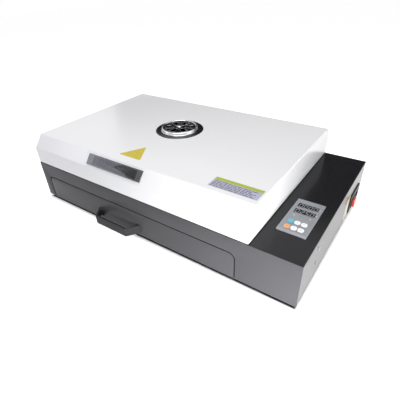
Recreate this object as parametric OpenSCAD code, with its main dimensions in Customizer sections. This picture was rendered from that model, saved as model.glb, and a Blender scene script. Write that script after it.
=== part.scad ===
// Bench-top drawer reflow oven: a white insulated hood over a dark sheet-metal case,
// a drawer that carries the circuit boards, and a control strip on the right-hand side.
// Working frame of the modules: x to the right from the case's left face, y to the back
// from its front face, z up from the bench. at_origin() moves the result to the middle.

/* [Case] */
// Width of the dark case
body_w = 720; // [712:2:760]
// Depth of the dark case
body_d = 425; // [420:5:470]
// Height of the dark case above its feet
body_h = 100; // [98:1:112]
// Thickness of the case and hood sheet
sheet_t = 1.5; // [1.2:0.1:1.8]
// Height of the rubber feet
foot_h = 8; // [6:0.5:16]
// Diameter of a rubber foot
foot_d = 24; // [18:1:30]
// Distance of a foot's centre from the case's edges
foot_inset = 34; // [26:1:60]
// Distance of the first cooling slot from the case's back
slot_back = 235; // [225:1:260]
// Width of a cooling slot in the base
slot_w = 3; // [2:0.5:3.5]
// Number of cooling slots in the base
slot_n = 9; // [4:1:10]

/* [Hood] */
// Width of the control strip beside the hood
strip_w = 100; // [96:1:106]
// Height of the hood's upright skirt
skirt_h = 38.5; // [36:0.5:46]
// Run of the sloped band at the hood's front
slope_run = 25; // [22:1:27]
// Run of the sloped band at the hood's back
rear_run = 16; // [12:1:25]
// Rise of both sloped bands
slope_rise = 30; // [28:1:34]
// Shadow gap between the hood and the case
hood_gap = 2.5; // [1.5:0.5:5]
// Overhang of the hood past the rear panel
hood_over = 2; // [1.7:0.1:4]

/* [Window] */
// Centre of the window from the left
window_x = 283; // [240:5:400]
// Width of the window glass
window_w = 166; // [130:5:200]
// Height of the window glass along the slope
window_h = 27; // [25:0.5:28]
// Thickness of the window glass
glass_t = 3; // [2:0.5:4]
// Margin of the glass past the cut-out at its two ends
glass_margin = 16; // [6:1:20]
// Distance of the chamber's sloped wall behind the hood's
window_depth = 16; // [15:0.5:18]

/* [Vent] */
// Centre of the vent from the left
vent_x = 301; // [200:5:420]
// Centre of the vent from the front
vent_y = 226; // [180:2:260]
// Diameter of the vent's flange
vent_d = 122; // [116:1:140]
// Radius of the vent's throat
vent_r = 40; // [38:0.5:46]
// Height of the vent's disc above the hood
vent_rise = 5; // [2.2:0.1:6]
// Number of openings in the vent's disc
vent_n = 6; // [4:1:8]

/* [Chamber] */
// Distance of the heating chamber from the hood's sides
chamber_side = 36; // [34:1:40]
// Thickness of the chamber sheet
liner_t = 1.2; // [0.8:0.1:1.5]
// Thickness of the blanket over the chamber
top_blanket_t = 12.5; // [10:0.5:16]
// Thickness of the blanket at the chamber's sides
side_blanket_t = 20; // [16:1:22]
// Thickness of the blanket behind the chamber
rear_blanket_t = 12; // [8:0.5:14]
// Thickness of the blanket under the chamber
floor_blanket_t = 10.5; // [8:0.5:12]
// Number of heater tubes
heater_n = 6; // [3:1:7]
// Diameter of a heater tube
heater_d = 12; // [8:1:14]
// Diameter of the circulation impeller
impeller_d = 40; // [30:1:42]
// Number of impeller blades
blade_n = 10; // [6:1:14]

/* [Drawer] */
// Distance of the drawer's opening from the hood's sides
drawer_side = 26; // [24:1:28]
// Height of the drawer's opening above the base
drawer_h = 65; // [62:1:68]
// Radius of the opening's upper corners
drawer_r = 15; // [6:1:18]
// Gap around the drawer's face
drawer_gap = 1.5; // [0.8:0.1:2]
// Height of the tray's walls
tray_h = 36; // [30:1:37]
// Distance of the slides from the chamber's back wall
slide_back = 29.6; // [20:0.2:80]
// Length of the slides that stays engaged with the drawer out
slide_hold = 30; // [20:5:120]
// Diameter of a rack wire
wire_d = 3; // [2:0.5:4]
// Number of rack wires
wire_n = 22; // [8:1:40]

/* [Handle] */
// Centre of the handle from the left
handle_x = 280; // [150:5:450]
// Length of the handle's grip bar
handle_l = 98; // [80:1:130]
// Distance of the grip bar from the drawer's face
handle_out = 30; // [24:1:40]
// Sideways splay of each handle leg
handle_splay = 20.5; // [12:0.5:30]
// Height of the handle strip
handle_h = 21; // [14:1:26]
// Thickness of the handle strip
handle_t = 4; // [3:0.5:5]

/* [Controls] */
// Width of the control panel
panel_w = 57; // [53:1:62]
// Length of the control panel
panel_l = 114; // [112:1:130]
// Distance of the control panel from the case's front
panel_y = 68; // [40:2:90]
// Thickness of the control panel
panel_t = 3.5; // [2.5:0.5:5]
// Width of a display window
display_w = 42; // [34:1:44]
// Height of a display window
display_h = 15; // [12:0.5:16]
// Distance between the centres of the two displays
display_pitch = 21.4; // [20:0.1:24]
// Distance of the front keys' centres from the panel's front edge
key_front = 15.3; // [14:0.1:17]
// Distance between neighbouring keys across the panel
key_pitch_x = 13.2; // [13:0.1:14.5]
// Distance between the two rows of keys
key_pitch_y = 18; // [17:0.5:22]
// Width of a key
key_w = 11.5; // [9:0.5:11.5]
// Length of a key
key_l = 11; // [10:0.5:14]
// Height of a key above the panel
key_proud = 1.2; // [1:0.1:2]
// Travel of a key
key_travel = 0.9; // [0.5:0.1:0.9]

/* [Power entry] */
// Distance of the power entry from the case's back
entry_back = 27; // [27:1:31]
// Length of the power entry's plate
entry_l = 78; // [76:1:84]
// Height of the power entry's plate
entry_h = 46; // [44:1:54]
// Thickness of the power entry's plate
entry_t = 2.5; // [2:0.5:4]
// Length of the rocker
rocker_l = 22; // [20:1:23]
// Height of the rocker
rocker_w = 20; // [16:1:22]
// Tilt of the rocker at rest
rocker_tilt = 12; // [8:1:14]

/* [Fits] */
// Radial running clearance of a pin in its bore
pin_fit = 0.05; // [0.02:0.01:0.1]
// Clearance of a moving piece in its cut-out
slip = 0.3; // [0.2:0.05:0.4]
// Clearance between the nested slide rails
slide_fit = 0.5; // [0.3:0.1:0.6]

/* [Hidden] */
$fn = 48;

eps = 1;                                   // overshoot of every cutting solid

// case levels and walls
z_base = foot_h;
z_floor = z_base + sheet_t;
z_deck = z_base + body_h;
deck_under = z_deck - sheet_t;
base_inset = 1;
flange_h = 5;
hood_d = body_d + hood_over;
hood_w = body_w - strip_w;
z_hood = z_deck + hood_gap;
z_skirt = z_hood + skirt_h;
z_top = z_skirt + slope_rise;

// the hood's slopes: lines at some depth behind its face, which the chamber follows too;
// y counts from the face that the slope starts from
slope_l = norm([slope_run, slope_rise]);
slope_angle = atan2(slope_rise, slope_run);
function slope_z(y, depth, run = slope_run) = let (l = norm([run, slope_rise]))
    z_skirt - depth * run / l + (y - depth * slope_rise / l) * slope_rise / run;
function slope_y(z, depth, run = slope_run) = let (l = norm([run, slope_rise]))
    depth * slope_rise / l + (z - z_skirt + depth * run / l) * run / slope_rise;

// heating chamber
drawer_cx = hood_w / 2;
chamber_w = hood_w - 2 * chamber_side;
drawer_w = hood_w - 2 * drawer_side;
chamber_x0 = drawer_cx - chamber_w / 2;
chamber_x1 = drawer_cx + chamber_w / 2;
inner_x0 = chamber_x0 + liner_t;
inner_x1 = chamber_x1 - liner_t;
mouth_y = 16;
mouth_margin = 12;
rear_gap = 7.5;
chamber_y1 = body_d - sheet_t - rear_gap - rear_blanket_t;
chamber_y0 = mouth_y + liner_t;
inner_y1 = chamber_y1 - liner_t;
z_chamber = z_floor + floor_blanket_t;
z_ceiling = z_top - sheet_t - top_blanket_t;
z_inner = z_ceiling - liner_t;
mouth_x0 = inner_x0 + 0.8;
mouth_x1 = inner_x1 - 0.8;
drawer_top = z_base + drawer_h;
mouth_z0 = z_chamber + liner_t + 0.8;
mouth_z1 = drawer_top - 7;
frame_z1 = drawer_top + 9;
bulkhead_x = chamber_x1 + side_blanket_t;
deck_gap = 0.5;

// drawer
face_x0 = drawer_cx - drawer_w / 2 + drawer_gap;
face_w = drawer_w - 2 * drawer_gap;
face_z0 = z_floor + 0.8;
face_h = drawer_top - drawer_gap - face_z0;
face_r = drawer_r - drawer_gap;
pan_d = 12;
plate_t = 1.2;
gasket_y0 = pan_d + plate_t;
gasket_t = mouth_y - gasket_y0 - slip;
slide_t = 13.8;
tray_x0 = inner_x0 + slide_t;
tray_x1 = inner_x1 - slide_t;
tray_y1 = inner_y1 - 9;
tray_z0 = mouth_z0 + 2;
rack_z = tray_z0 + 10;
slide_y0 = chamber_y0 + 6;
slide_l = inner_y1 - slide_back - slide_y0;
drawer_travel = slide_l - slide_hold;
slide_h = 26;
slide_z = tray_z0 + plate_t + 2 + slide_h / 2;
rail_t = 1.2;

// window
glass_s = slope_l / 2;
cutout_w = window_w - 2 * glass_margin;
cutout_h = window_h - 7;
gasket_h = 1;
tunnel_gap = 1;

// vent
vent_hole_r = vent_r + 2;
throat_z = z_top + vent_rise;
rim_t = 4.8;
disc_t = 1;
shutter_t = 0.8;
shutter_r = vent_r - 2.4;
ledge_r = vent_r - 2;
sector_r0 = 13;
sector_r1 = vent_r - 5;
sector_angle = 180 / vent_n;
knob_r = 8;
knob_pin_r = 2.5;
collar_gap = 0.5;
collar_t = 1;

// heaters
bracket_x0 = inner_x0 + 24;
baffle_x = inner_x1 - 22.8;
bracket_x1 = baffle_x - 20;
bracket_y0 = chamber_y0 + 23;
bracket_y1 = inner_y1 - 22;
bracket_z0 = z_inner - 38;
heater_z = z_inner - 24;
heater_y0 = bracket_y0 + 22;
heater_pitch = (bracket_y1 - 22 - heater_y0) / (heater_n - 1);
cap_l = 12;
cap_wall = 2;
cap_r = heater_d / 2 + 3;
heater_fit = 0.1;
reflector_t = 0.8;
reflector_z = z_inner - 11.5;
probe_d = 3;
probe_l = 80;
probe_z = heater_z - heater_d / 2 - 10;
probe_x = [150, hood_w - 170];

// circulation fan
motor_r = 21;
motor_l = 40;
fan_y = body_d - 125;
fan_z = deck_under - motor_r - 2.5;
shaft_r = 3;
shaft_hole_r = 5;
impeller_x = baffle_x + 6;
impeller_l = 12;
shaft_x1 = bulkhead_x + sheet_t + 24;
baffle_z0 = tray_z0 + tray_h + 3;

// controls
strip_cx = (hood_w + body_w) / 2;
panel_x0 = strip_cx - panel_w / 2;
panel_cy = panel_y + panel_l / 2;
panel_rim = 4;
panel_bevel = 2.6;
panel_r = 2;
display_y = [panel_y + panel_l - 21, panel_y + panel_l - 21 - display_pitch];
display_fit = 0.2;
key_rows = [panel_y + key_front + key_pitch_y, panel_y + key_front];
key_r = 4.5;
key_lip = 0.9;
key_lip_t = 1;
board_t = 1.6;
board_z1 = z_deck - 10.5;
switch_h = 4;
stem_w = 4;
display_top = z_deck + panel_t - 0.5;
standoff_r = 3;

// electronics bay
bay_x0 = bulkhead_x + sheet_t;
bay_w = body_w - sheet_t - bay_x0;
bay_cx = bay_x0 + bay_w / 2;
fan_w = bay_w - 33;
fan_d = 25;
fan_bore_r = fan_w / 2 - 2.5;
fan_blade_r = fan_bore_r - 1;
fan_hub_r = 17;
fan_cz = z_floor + 6.5 + fan_w / 2;
fan_y0 = body_d - sheet_t - fan_d;
fan_pin_r = 2;
guard_wire_r = 1;
guard_t = 2 * guard_wire_r;

// power entry
entry_y = body_d - entry_back - entry_l;
entry_z = z_base + 8;
entry_rim = 3;
entry_d = 28;
inlet_w = 34;
inlet_h = 24;
inlet_d = 22;
inlet_cy = entry_y + entry_l - 21;
entry_cz = entry_z + entry_h / 2;
rocker_cy = entry_y + 24;
rocker_well = 14;
rocker_rise = 7;
rocker_pivot_x = body_w + 0.5;
rocker_pin_r = 1.5;
bezel_t = 2;
bezel_w = 2;

// screws
screw_r = 2;
screw_fit = 0.2;
screw_head_h = 1.4;
foot_seat = 4;
foot_head_r = 4.2;
bracket_w = 30;
bracket_leg = 25;
bracket_foot = 12.5;
hood_bracket_x = [100, hood_w - 100];
side_bracket_y = body_d / 2 + 2.5;
right_screws = [[90, z_base + 36], [90, z_base + 72]];
left_screws = [[90, z_base + 54], [body_d - 90, z_base + 54]];
rear_screws = [[60, z_base + 80], [drawer_cx, z_base + 80], [bulkhead_x - 24, z_base + 80]];
hood_screw_z = z_hood + 15;

// labels
label_t = 0.2;
triangle_w = 64;
triangle_h = 56;
triangle_x = 299;
triangle_y = 46;
info_label = [103, 35];
info_label_y = 38;
info_label_edge = 6.5;
side_label = [30, 56];
side_label_y = entry_y - side_label[0] - 6;
side_label_z = z_base + 8;

// the whole oven's box, which sets the origin
x_min = -screw_head_h;
x_max = rocker_pivot_x + rocker_rise * cos(rocker_tilt) + rocker_l / 2 * sin(rocker_tilt);
y_min = -handle_out;
y_max = max(hood_d + screw_head_h, body_d + guard_t);
module at_origin() { translate([-(x_min + x_max) / 2, -(y_min + y_max) / 2, 0]) children(); }

// ---- shared shapes ----

module block(lo, hi) { translate(lo) cube([for (i = [0:2]) hi[i] - lo[i]]); }

// a profile in the y-z plane, drawn out along x
module along_x(x0, x1) { translate([x0, 0, 0]) rotate([90, 0, 90]) linear_extrude(x1 - x0) children(); }

// a profile in the x-z plane, drawn out along y
module along_y(y0, y1) { translate([0, y1, 0]) rotate([90, 0, 0]) linear_extrude(y1 - y0) children(); }

// the hood's front slope as a working plane: x, then s up the slope, then n outwards
module on_slope(x, s, n) {
    translate([x, 0, z_skirt]) rotate([slope_angle, 0, 0]) translate([0, s, n]) children();
}

// a flat shape with square lower corners and round upper ones
module round_top(x, z, w, h, r) {
    translate([x, z]) square([w, h - r]);
    translate([x + r, z]) square([w - 2 * r, h]);
    for (cx = [x + r, x + w - r]) translate([cx, z + h - r]) circle(r);
}

// a plate with four round corners, centred on its place
module round_plate(w, l, t, r) {
    linear_extrude(t) {
        square([w - 2 * r, l], center = true);
        square([w, l - 2 * r], center = true);
        for (sx = [-1, 1], sy = [-1, 1]) translate([sx * (w / 2 - r), sy * (l / 2 - r)]) circle(r);
    }
}

// a cross-head screw along -z, its head's seat at z = 0
module screw(l, head_r = 2 * screw_r, head_h = screw_head_h) {
    difference() {
        cylinder(r = head_r, h = head_h);
        for (a = [0, 90]) rotate(a) translate([-head_r / 2, -0.5, head_h / 2]) cube([head_r, 1, head_h]);
    }
    translate([0, 0, -l]) cylinder(r = screw_r, h = l);
}
module screw_hole(depth) {
    translate([0, 0, -depth]) cylinder(r = screw_r + screw_fit, h = 2 * depth);
}

// where the fixings go
module at_feet() {
    for (x = [foot_inset, body_w - foot_inset], y = [foot_inset, body_d - foot_inset])
        translate([x, y, 0]) children();
}
module at_right_screws() {
    for (p = right_screws) translate([body_w, p[0], p[1]]) rotate([0, 90, 0]) children();
}
module at_left_screws() {
    for (p = left_screws) translate([0, p[0], p[1]]) rotate([0, -90, 0]) children();
}
module at_rear_screws() {
    for (p = rear_screws) translate([p[0], body_d, p[1]]) rotate([-90, 0, 0]) children();
}
module at_hood_screws() {
    for (x = hood_bracket_x) translate([x, hood_d, hood_screw_z]) rotate([-90, 0, 0]) children();
    translate([0, side_bracket_y, hood_screw_z]) rotate([0, -90, 0]) children();
}

// ---- case ----

module base_pan() color("#2e2e31") difference() {
    union() {
        block([base_inset, base_inset, z_base], [body_w - base_inset, body_d - base_inset, z_floor]);
        for (x = [sheet_t, body_w - 2 * sheet_t])
            block([x, 24, z_floor], [x + sheet_t, body_d - 24, z_floor + flange_h]);
        block([24, body_d - 2 * sheet_t, z_floor], [body_w - 24, body_d - sheet_t, z_floor + flange_h]);
    }
    at_feet() translate([0, 0, z_base]) screw_hole(sheet_t + eps);
    for (i = [0:slot_n - 1])
        block([bay_x0 + 14, body_d - slot_back + 9 * i, z_base - eps],
                [body_w - 34, body_d - slot_back + 9 * i + slot_w, z_floor + eps]);
}

module drawer_opening(grow) {
    round_top(drawer_cx - drawer_w / 2 - grow, z_base, drawer_w + 2 * grow, drawer_h + grow,
        drawer_r + grow);
}

module front_panel() color("#5c5c60") {
    along_y(0, sheet_t) difference() {
        translate([0, z_floor]) square([body_w, z_deck - z_floor]);
        drawer_opening(0);
    }
    difference() {
        along_y(sheet_t, mouth_y) difference() { drawer_opening(rail_t); drawer_opening(0); }
        block([0, 0, 0], [body_w, mouth_y + eps, z_floor]);
    }
}

module left_panel() color("#4c4c50") difference() {
    block([0, sheet_t, z_floor], [sheet_t, body_d - sheet_t, z_deck]);
    at_left_screws() screw_hole(sheet_t + eps);
}

module right_cover() color("#47474b") difference() {
    corner = 2.5;
    along_y(sheet_t, body_d - sheet_t) {
        translate([hood_w, deck_under]) square([body_w - corner - hood_w, sheet_t]);
        translate([body_w - sheet_t, z_floor]) square([sheet_t, z_deck - corner - z_floor]);
        translate([body_w - corner, z_deck - corner]) intersection() {
            difference() { circle(corner); circle(corner - sheet_t); }
            square(corner);
        }
    }
    block([panel_x0 + panel_rim, panel_y + panel_rim, deck_under - eps],
        [panel_x0 + panel_w - panel_rim, panel_y + panel_l - panel_rim, z_deck + eps]);
    block([body_w - sheet_t - eps, entry_y + entry_rim - slip, entry_z + entry_rim - slip],
        [body_w + eps, entry_y + entry_l - entry_rim + slip, entry_z + entry_h - entry_rim + slip]);
    at_right_screws() screw_hole(sheet_t + eps);
}

module rear_panel() color("#47474b") difference() {
    block([0, body_d - sheet_t, z_floor], [body_w, body_d, z_deck]);
    translate([bay_cx, body_d, fan_cz]) rotate([90, 0, 0])
        cylinder(r = fan_bore_r, h = 4 * sheet_t, center = true);
    at_rear_screws() screw_hole(sheet_t + eps);
}

module deck_plate() color("#3a3a3e") {
    difference() {
        block([sheet_t, sheet_t, deck_under], [hood_w, body_d - sheet_t, z_deck]);
        block([chamber_x0 - side_blanket_t - deck_gap, mouth_y - deck_gap, deck_under - eps],
            [bulkhead_x + deck_gap, chamber_y1 + rear_blanket_t + deck_gap, z_deck + eps]);
    }
    for (x = hood_bracket_x) {
        translate([x, sheet_t, z_deck]) hood_bracket();
        translate([x, hood_d - sheet_t, z_deck]) rotate(180) hood_bracket();
    }
    translate([sheet_t, side_bracket_y, z_deck]) rotate(-90) hood_bracket();
    translate([hood_w - sheet_t, side_bracket_y, z_deck]) rotate(90) hood_bracket(right_foot);
}
right_foot = min(bracket_foot, hood_w - sheet_t - bulkhead_x - deck_gap);

// an L bracket: its upright leg lies against y = 0, its foot runs to +y
module hood_bracket(foot = bracket_foot) difference() {
    union() {
        translate([-bracket_w / 2, 0, 0]) cube([bracket_w, foot - 4.5, sheet_t]);
        translate([-bracket_w / 2, 0, 0]) cube([bracket_w, sheet_t, bracket_leg]);
    }
    translate([0, 0, hood_screw_z - z_deck]) rotate([90, 0, 0])
        cylinder(r = screw_r + screw_fit, h = 4 * sheet_t, center = true);
}

module bulkhead() color("#a8aaad") difference() {
    block([bulkhead_x, sheet_t, z_floor], [bay_x0, body_d - 2 * sheet_t, deck_under]);
    fan_axis() translate([0, 0, bulkhead_x - eps]) cylinder(r = shaft_hole_r, h = sheet_t + 2 * eps);
}

module feet() color("#1c1c1c") at_feet() difference() {
    rotate_extrude() polygon([[0, z_base], [foot_d / 2, z_base], [foot_d / 2, 1], [foot_d / 2 - 1, 0], [0, 0]]);
    translate([0, 0, -eps]) cylinder(r = foot_head_r + 1, h = foot_seat + eps);
    cylinder(r = screw_r + screw_fit, h = z_base + eps);
}

module case_screws() color("#8a8a8c") {
    at_right_screws() screw(8);
    at_left_screws() screw(8);
    at_rear_screws() screw(6);
    at_hood_screws() screw(6);
    at_feet() translate([0, 0, foot_seat]) rotate([180, 0, 0]) screw(z_floor - foot_seat + 4, foot_head_r, 2);
}

// ---- hood ----

module hood_profile(t, low) {
    polygon([[t, low], [t, slope_z(t, t)], [slope_y(z_top - t, t), z_top - t],
        [hood_d - slope_y(z_top - t, t, rear_run), z_top - t], [hood_d - t, slope_z(t, t, rear_run)],
        [hood_d - t, low]]);
}

module hood() color("#f2f2f2") difference() {
    along_x(0, hood_w) hood_profile(0, z_hood);
    along_x(sheet_t, hood_w - sheet_t) hood_profile(sheet_t, z_hood - eps);
    on_slope(window_x, glass_s, 0) cube([cutout_w, cutout_h, 6 * sheet_t], center = true);
    translate([vent_x, vent_y, z_ceiling]) cylinder(r = vent_hole_r, h = z_top);
    at_hood_screws() screw_hole(sheet_t + eps);
}

module slope_plate(w, h, t, hole_w, hole_h) difference() {
    translate([-w / 2, -h / 2, 0]) cube([w, h, t]);
    translate([-hole_w / 2, -hole_h / 2, -eps]) cube([hole_w, hole_h, t + 2 * eps]);
}

module window_gasket() color("#333338") on_slope(window_x, glass_s, 0)
    slope_plate(window_w, window_h, gasket_h, cutout_w, cutout_h);

module window_glass() color("#7d8088", 0.5) on_slope(window_x, glass_s, gasket_h)
    round_plate(window_w - 1, window_h - 1, glass_t, 1);

module window_tunnel() color("#b5b7ba") on_slope(window_x, glass_s, -window_depth)
    slope_plate(cutout_w + 2 * (tunnel_gap + liner_t), cutout_h + 2 * (tunnel_gap + liner_t),
        window_depth - sheet_t, cutout_w + 2 * tunnel_gap, cutout_h + 2 * tunnel_gap);

// ---- vent ----

module vent_place() { translate([vent_x, vent_y, 0]) children(); }

// a wedge of the disc between two radii, centred on its angle
module sector(r0, r1, angle) {
    reach = 2 * r1;
    intersection() {
        difference() { circle(r1); circle(r0); }
        polygon([[0, 0], [reach * cos(angle / 2), -reach * sin(angle / 2)],
            [reach * cos(angle / 2), reach * sin(angle / 2)]]);
    }
}

module vent_flange() color("#c9cacc") vent_place() rotate_extrude($fn = 96) {
    translate([vent_r + 0.3, z_top]) square([vent_d / 2 - vent_r - 0.3, 1.2]);
    translate([ledge_r, throat_z - 1]) square([vent_r + 2 - ledge_r, 1]);
    translate([vent_r + 0.3, z_ceiling + 3]) square([1.2, throat_z - z_ceiling - 3]);
    translate([vent_r + 0.3, z_top]) square([rim_t, vent_rise + 1]);
    translate([vent_r + 0.3 + rim_t / 2, throat_z + 1]) circle(rim_t / 2);
}

module vent_disc() color("#9fa0a3") vent_place() translate([0, 0, throat_z]) difference() {
    cylinder(r = vent_r, h = disc_t);
    translate([0, 0, -eps]) linear_extrude(disc_t + 2 * eps)
        for (i = [0:vent_n - 1]) rotate(i * 360 / vent_n + sector_angle) sector(sector_r0, sector_r1, sector_angle);
    translate([0, 0, -eps]) cylinder(r = knob_pin_r + pin_fit, h = disc_t + 2 * eps);
}

module vent_shutter() color("#8b8c8f") vent_place() {
    translate([0, 0, throat_z - slip - shutter_t]) linear_extrude(shutter_t) {
        circle(sector_r0 - 1);
        for (i = [0:vent_n - 1]) rotate(i * 360 / vent_n) sector(sector_r0 - 2, shutter_r, sector_angle - 2);
    }
    translate([0, 0, throat_z - slip - shutter_t]) cylinder(r = knob_pin_r, h = shutter_t + 2 * slip + disc_t + 1);
    translate([0, 0, throat_z + disc_t + slip]) rotate_extrude()
        polygon([[0, 0], [knob_r, 0], [knob_r, 1.5], [knob_r - 1.5, 3], [0, 3.4]]);
}

module exhaust_collar() color("#b5b7ba") vent_place() translate([0, 0, z_ceiling]) difference() {
    cylinder(r = vent_hole_r + collar_gap + collar_t, h = top_blanket_t);
    translate([0, 0, -eps]) cylinder(r = vent_hole_r + collar_gap, h = top_blanket_t + 2 * eps);
}

// ---- heating chamber ----

module mouth_frame() color("#8f9195") along_y(mouth_y, chamber_y0) difference() {
    translate([chamber_x0 - mouth_margin, z_floor]) square([chamber_w + 2 * mouth_margin, frame_z1 - z_floor]);
    translate([mouth_x0, mouth_z0]) square([mouth_x1 - mouth_x0, mouth_z1 - mouth_z0]);
}

module chamber_floor() color("#b5b7ba")
    block([inner_x0, chamber_y0, z_chamber], [inner_x1, inner_y1, z_chamber + liner_t]);

module side_profile() {
    polygon([[chamber_y0, z_chamber], [inner_y1, z_chamber], [inner_y1, z_ceiling],
        [slope_y(z_ceiling, window_depth), z_ceiling], [mouth_y, slope_z(mouth_y, window_depth)],
        [mouth_y, frame_z1], [chamber_y0, frame_z1]]);
}

module chamber_shell() color("#b5b7ba") difference() {
    union() {
        along_x(chamber_x0, inner_x0) side_profile();
        along_x(inner_x1, chamber_x1) side_profile();
        block([chamber_x0, inner_y1, z_chamber], [chamber_x1, chamber_y1, z_ceiling]);
    }
    fan_axis() translate([0, 0, inner_x1 - eps]) cylinder(r = shaft_hole_r, h = liner_t + 2 * eps);
    for (x = probe_x) translate([x, chamber_y1, probe_z]) rotate([90, 0, 0])
        cylinder(d = probe_d + 2 * screw_fit, h = 4 * liner_t, center = true);
}

module chamber_roof() color("#b5b7ba") difference() {
    depth = window_depth + liner_t;
    along_x(inner_x0, inner_x1)
        polygon([[mouth_y, frame_z1], [mouth_y, slope_z(mouth_y, window_depth)],
            [slope_y(z_ceiling, window_depth), z_ceiling], [inner_y1, z_ceiling], [inner_y1, z_inner],
            [slope_y(z_inner, depth), z_inner], [chamber_y0, slope_z(chamber_y0, depth)],
            [chamber_y0, frame_z1]]);
    on_slope(window_x, glass_s, -window_depth) cube([cutout_w, cutout_h - 2, 6 * liner_t], center = true);
    vent_place() translate([0, 0, z_inner - eps]) cylinder(r = vent_hole_r, h = liner_t + 2 * eps);
}

module insulation() color("#e9e6dc") {
    difference() {
        block([chamber_x0, 42, z_ceiling], [chamber_x1, inner_y1 - 6, z_ceiling + top_blanket_t]);
        vent_place() translate([0, 0, z_ceiling - eps])
            cylinder(r = vent_hole_r + collar_gap + collar_t, h = top_blanket_t + 2 * eps);
    }
    block([chamber_x0 - side_blanket_t, chamber_y0, z_chamber], [chamber_x0, chamber_y1, z_skirt]);
    difference() {
        block([chamber_x1, chamber_y0, z_chamber], [bulkhead_x, chamber_y1, z_skirt]);
        fan_axis() translate([0, 0, chamber_x1 - eps]) cylinder(r = shaft_hole_r, h = side_blanket_t + 2 * eps);
    }
    difference() {
        block([chamber_x0, chamber_y1, z_chamber], [chamber_x1, chamber_y1 + rear_blanket_t, z_skirt]);
        for (x = probe_x) translate([x, chamber_y1, probe_z]) rotate([90, 0, 0])
            cylinder(r = 4, h = 3 * rear_blanket_t, center = true);
    }
    block([chamber_x0, chamber_y0, z_floor], [chamber_x1, chamber_y1, z_chamber]);
}

module at_heaters() {
    for (i = [0:heater_n - 1]) translate([0, heater_y0 + i * heater_pitch, heater_z]) rotate([0, 90, 0]) children();
}

module heater_brackets() color("#9a9ca0") difference() {
    for (x = [bracket_x0, bracket_x1 - liner_t])
        block([x, bracket_y0, bracket_z0], [x + liner_t, bracket_y1, z_inner]);
    at_heaters() translate([0, 0, bracket_x0 - eps])
        cylinder(d = heater_d + 2 * heater_fit, h = bracket_x1 - bracket_x0 + 2 * eps);
}

module reflector() color("#d5d6d8") difference() {
    block([bracket_x0 + liner_t, bracket_y0 + 6, reflector_z],
        [bracket_x1 - liner_t, bracket_y1, reflector_z + reflector_t]);
    vent_place() translate([0, 0, reflector_z - eps]) cylinder(r = vent_hole_r, h = reflector_t + 2 * eps);
}

module heater_tubes() color("#e8e4dc") at_heaters() difference() {
    tube_x0 = bracket_x0 - cap_l + cap_wall + 1;
    tube_l = bracket_x1 - bracket_x0 + 2 * (cap_l - cap_wall - 1);
    translate([0, 0, tube_x0]) cylinder(d = heater_d, h = tube_l);
    translate([0, 0, tube_x0 - eps]) cylinder(d = heater_d - 2, h = tube_l + 2 * eps);
}

module heater_caps() color("#f0ece0") at_heaters() difference() {
    union() {
        translate([0, 0, bracket_x0 - cap_l]) cylinder(r = cap_r, h = cap_l);
        translate([0, 0, bracket_x1]) cylinder(r = cap_r, h = cap_l);
    }
    translate([0, 0, bracket_x0 - cap_l + cap_wall])
        cylinder(d = heater_d + 2 * heater_fit, h = bracket_x1 - bracket_x0 + 2 * (cap_l - cap_wall));
}

module thermocouples() color("#c5c6c8") for (x = probe_x) translate([x, 0, probe_z]) rotate([-90, 0, 0]) {
    translate([0, 0, inner_y1 - probe_l]) cylinder(d = probe_d, h = probe_l + liner_t + 6);
    translate([0, 0, inner_y1 - 4]) cylinder(r = 5, h = 4, $fn = 6);
}

module fan_axis() { translate([0, fan_y, fan_z]) rotate([0, 90, 0]) children(); }

module fan_baffle() color("#b5b7ba") difference() {
    block([baffle_x, fan_y - 90, baffle_z0], [baffle_x + liner_t, inner_y1, z_inner]);
    for (i = [-2:2], j = [-2:2])
        translate([baffle_x, fan_y + 8 * i, fan_z + 8 * j]) rotate([0, 90, 0])
            cylinder(r = 2.5, h = 4 * liner_t, center = true, $fn = 24);
}

module impeller() color("#a0a2a6") fan_axis() {
    translate([0, 0, impeller_x + impeller_l - liner_t]) cylinder(d = impeller_d, h = liner_t);
    translate([0, 0, impeller_x]) cylinder(r = 2 * shaft_r, h = impeller_l);
    translate([0, 0, impeller_x]) cylinder(r = shaft_r, h = shaft_x1 - impeller_x);
    for (i = [0:blade_n - 1]) rotate(i * 360 / blade_n)
        translate([shaft_r + 1, -0.5, impeller_x]) cube([impeller_d / 2 - shaft_r - 2, 1, impeller_l]);
}

module fan_motor() color("#6f7175") fan_axis() difference() {
    union() {
        translate([0, 0, bay_x0]) cylinder(r = motor_r - 3, h = 4);
        translate([0, 0, bay_x0 + 4]) cylinder(r = motor_r, h = motor_l - 8);
        translate([0, 0, bay_x0 + motor_l - 4]) cylinder(r = motor_r - 3, h = 4);
    }
    translate([0, 0, bay_x0 - eps]) cylinder(r = shaft_r + pin_fit, h = shaft_x1 - bay_x0 + 2 * eps);
}

// ---- drawer ----

module drawer_face(shrink) {
    round_top(face_x0 + shrink, face_z0 + shrink, face_w - 2 * shrink, face_h - 2 * shrink, face_r - shrink);
}

module handle_screw_places() {
    for (s = [-1, 1]) translate([handle_x + s * (handle_l / 2 + handle_splay - handle_t - handle_tab / 2), 0, handle_z])
        rotate([-90, 0, 0]) children();
}
handle_tab = 12;
handle_tab_t = 3;
handle_z = z_base + 10 + handle_h / 2;

module drawer_front() color("#5c5c60") difference() {
    union() {
        along_y(0, sheet_t) drawer_face(0);
        along_y(sheet_t, gasket_y0) difference() { drawer_face(0); drawer_face(plate_t); }
    }
    handle_screw_places() screw_hole(sheet_t + eps);
}

module drawer_inner_plate() color("#b5b7ba") along_y(pan_d, gasket_y0) drawer_face(plate_t);

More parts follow.
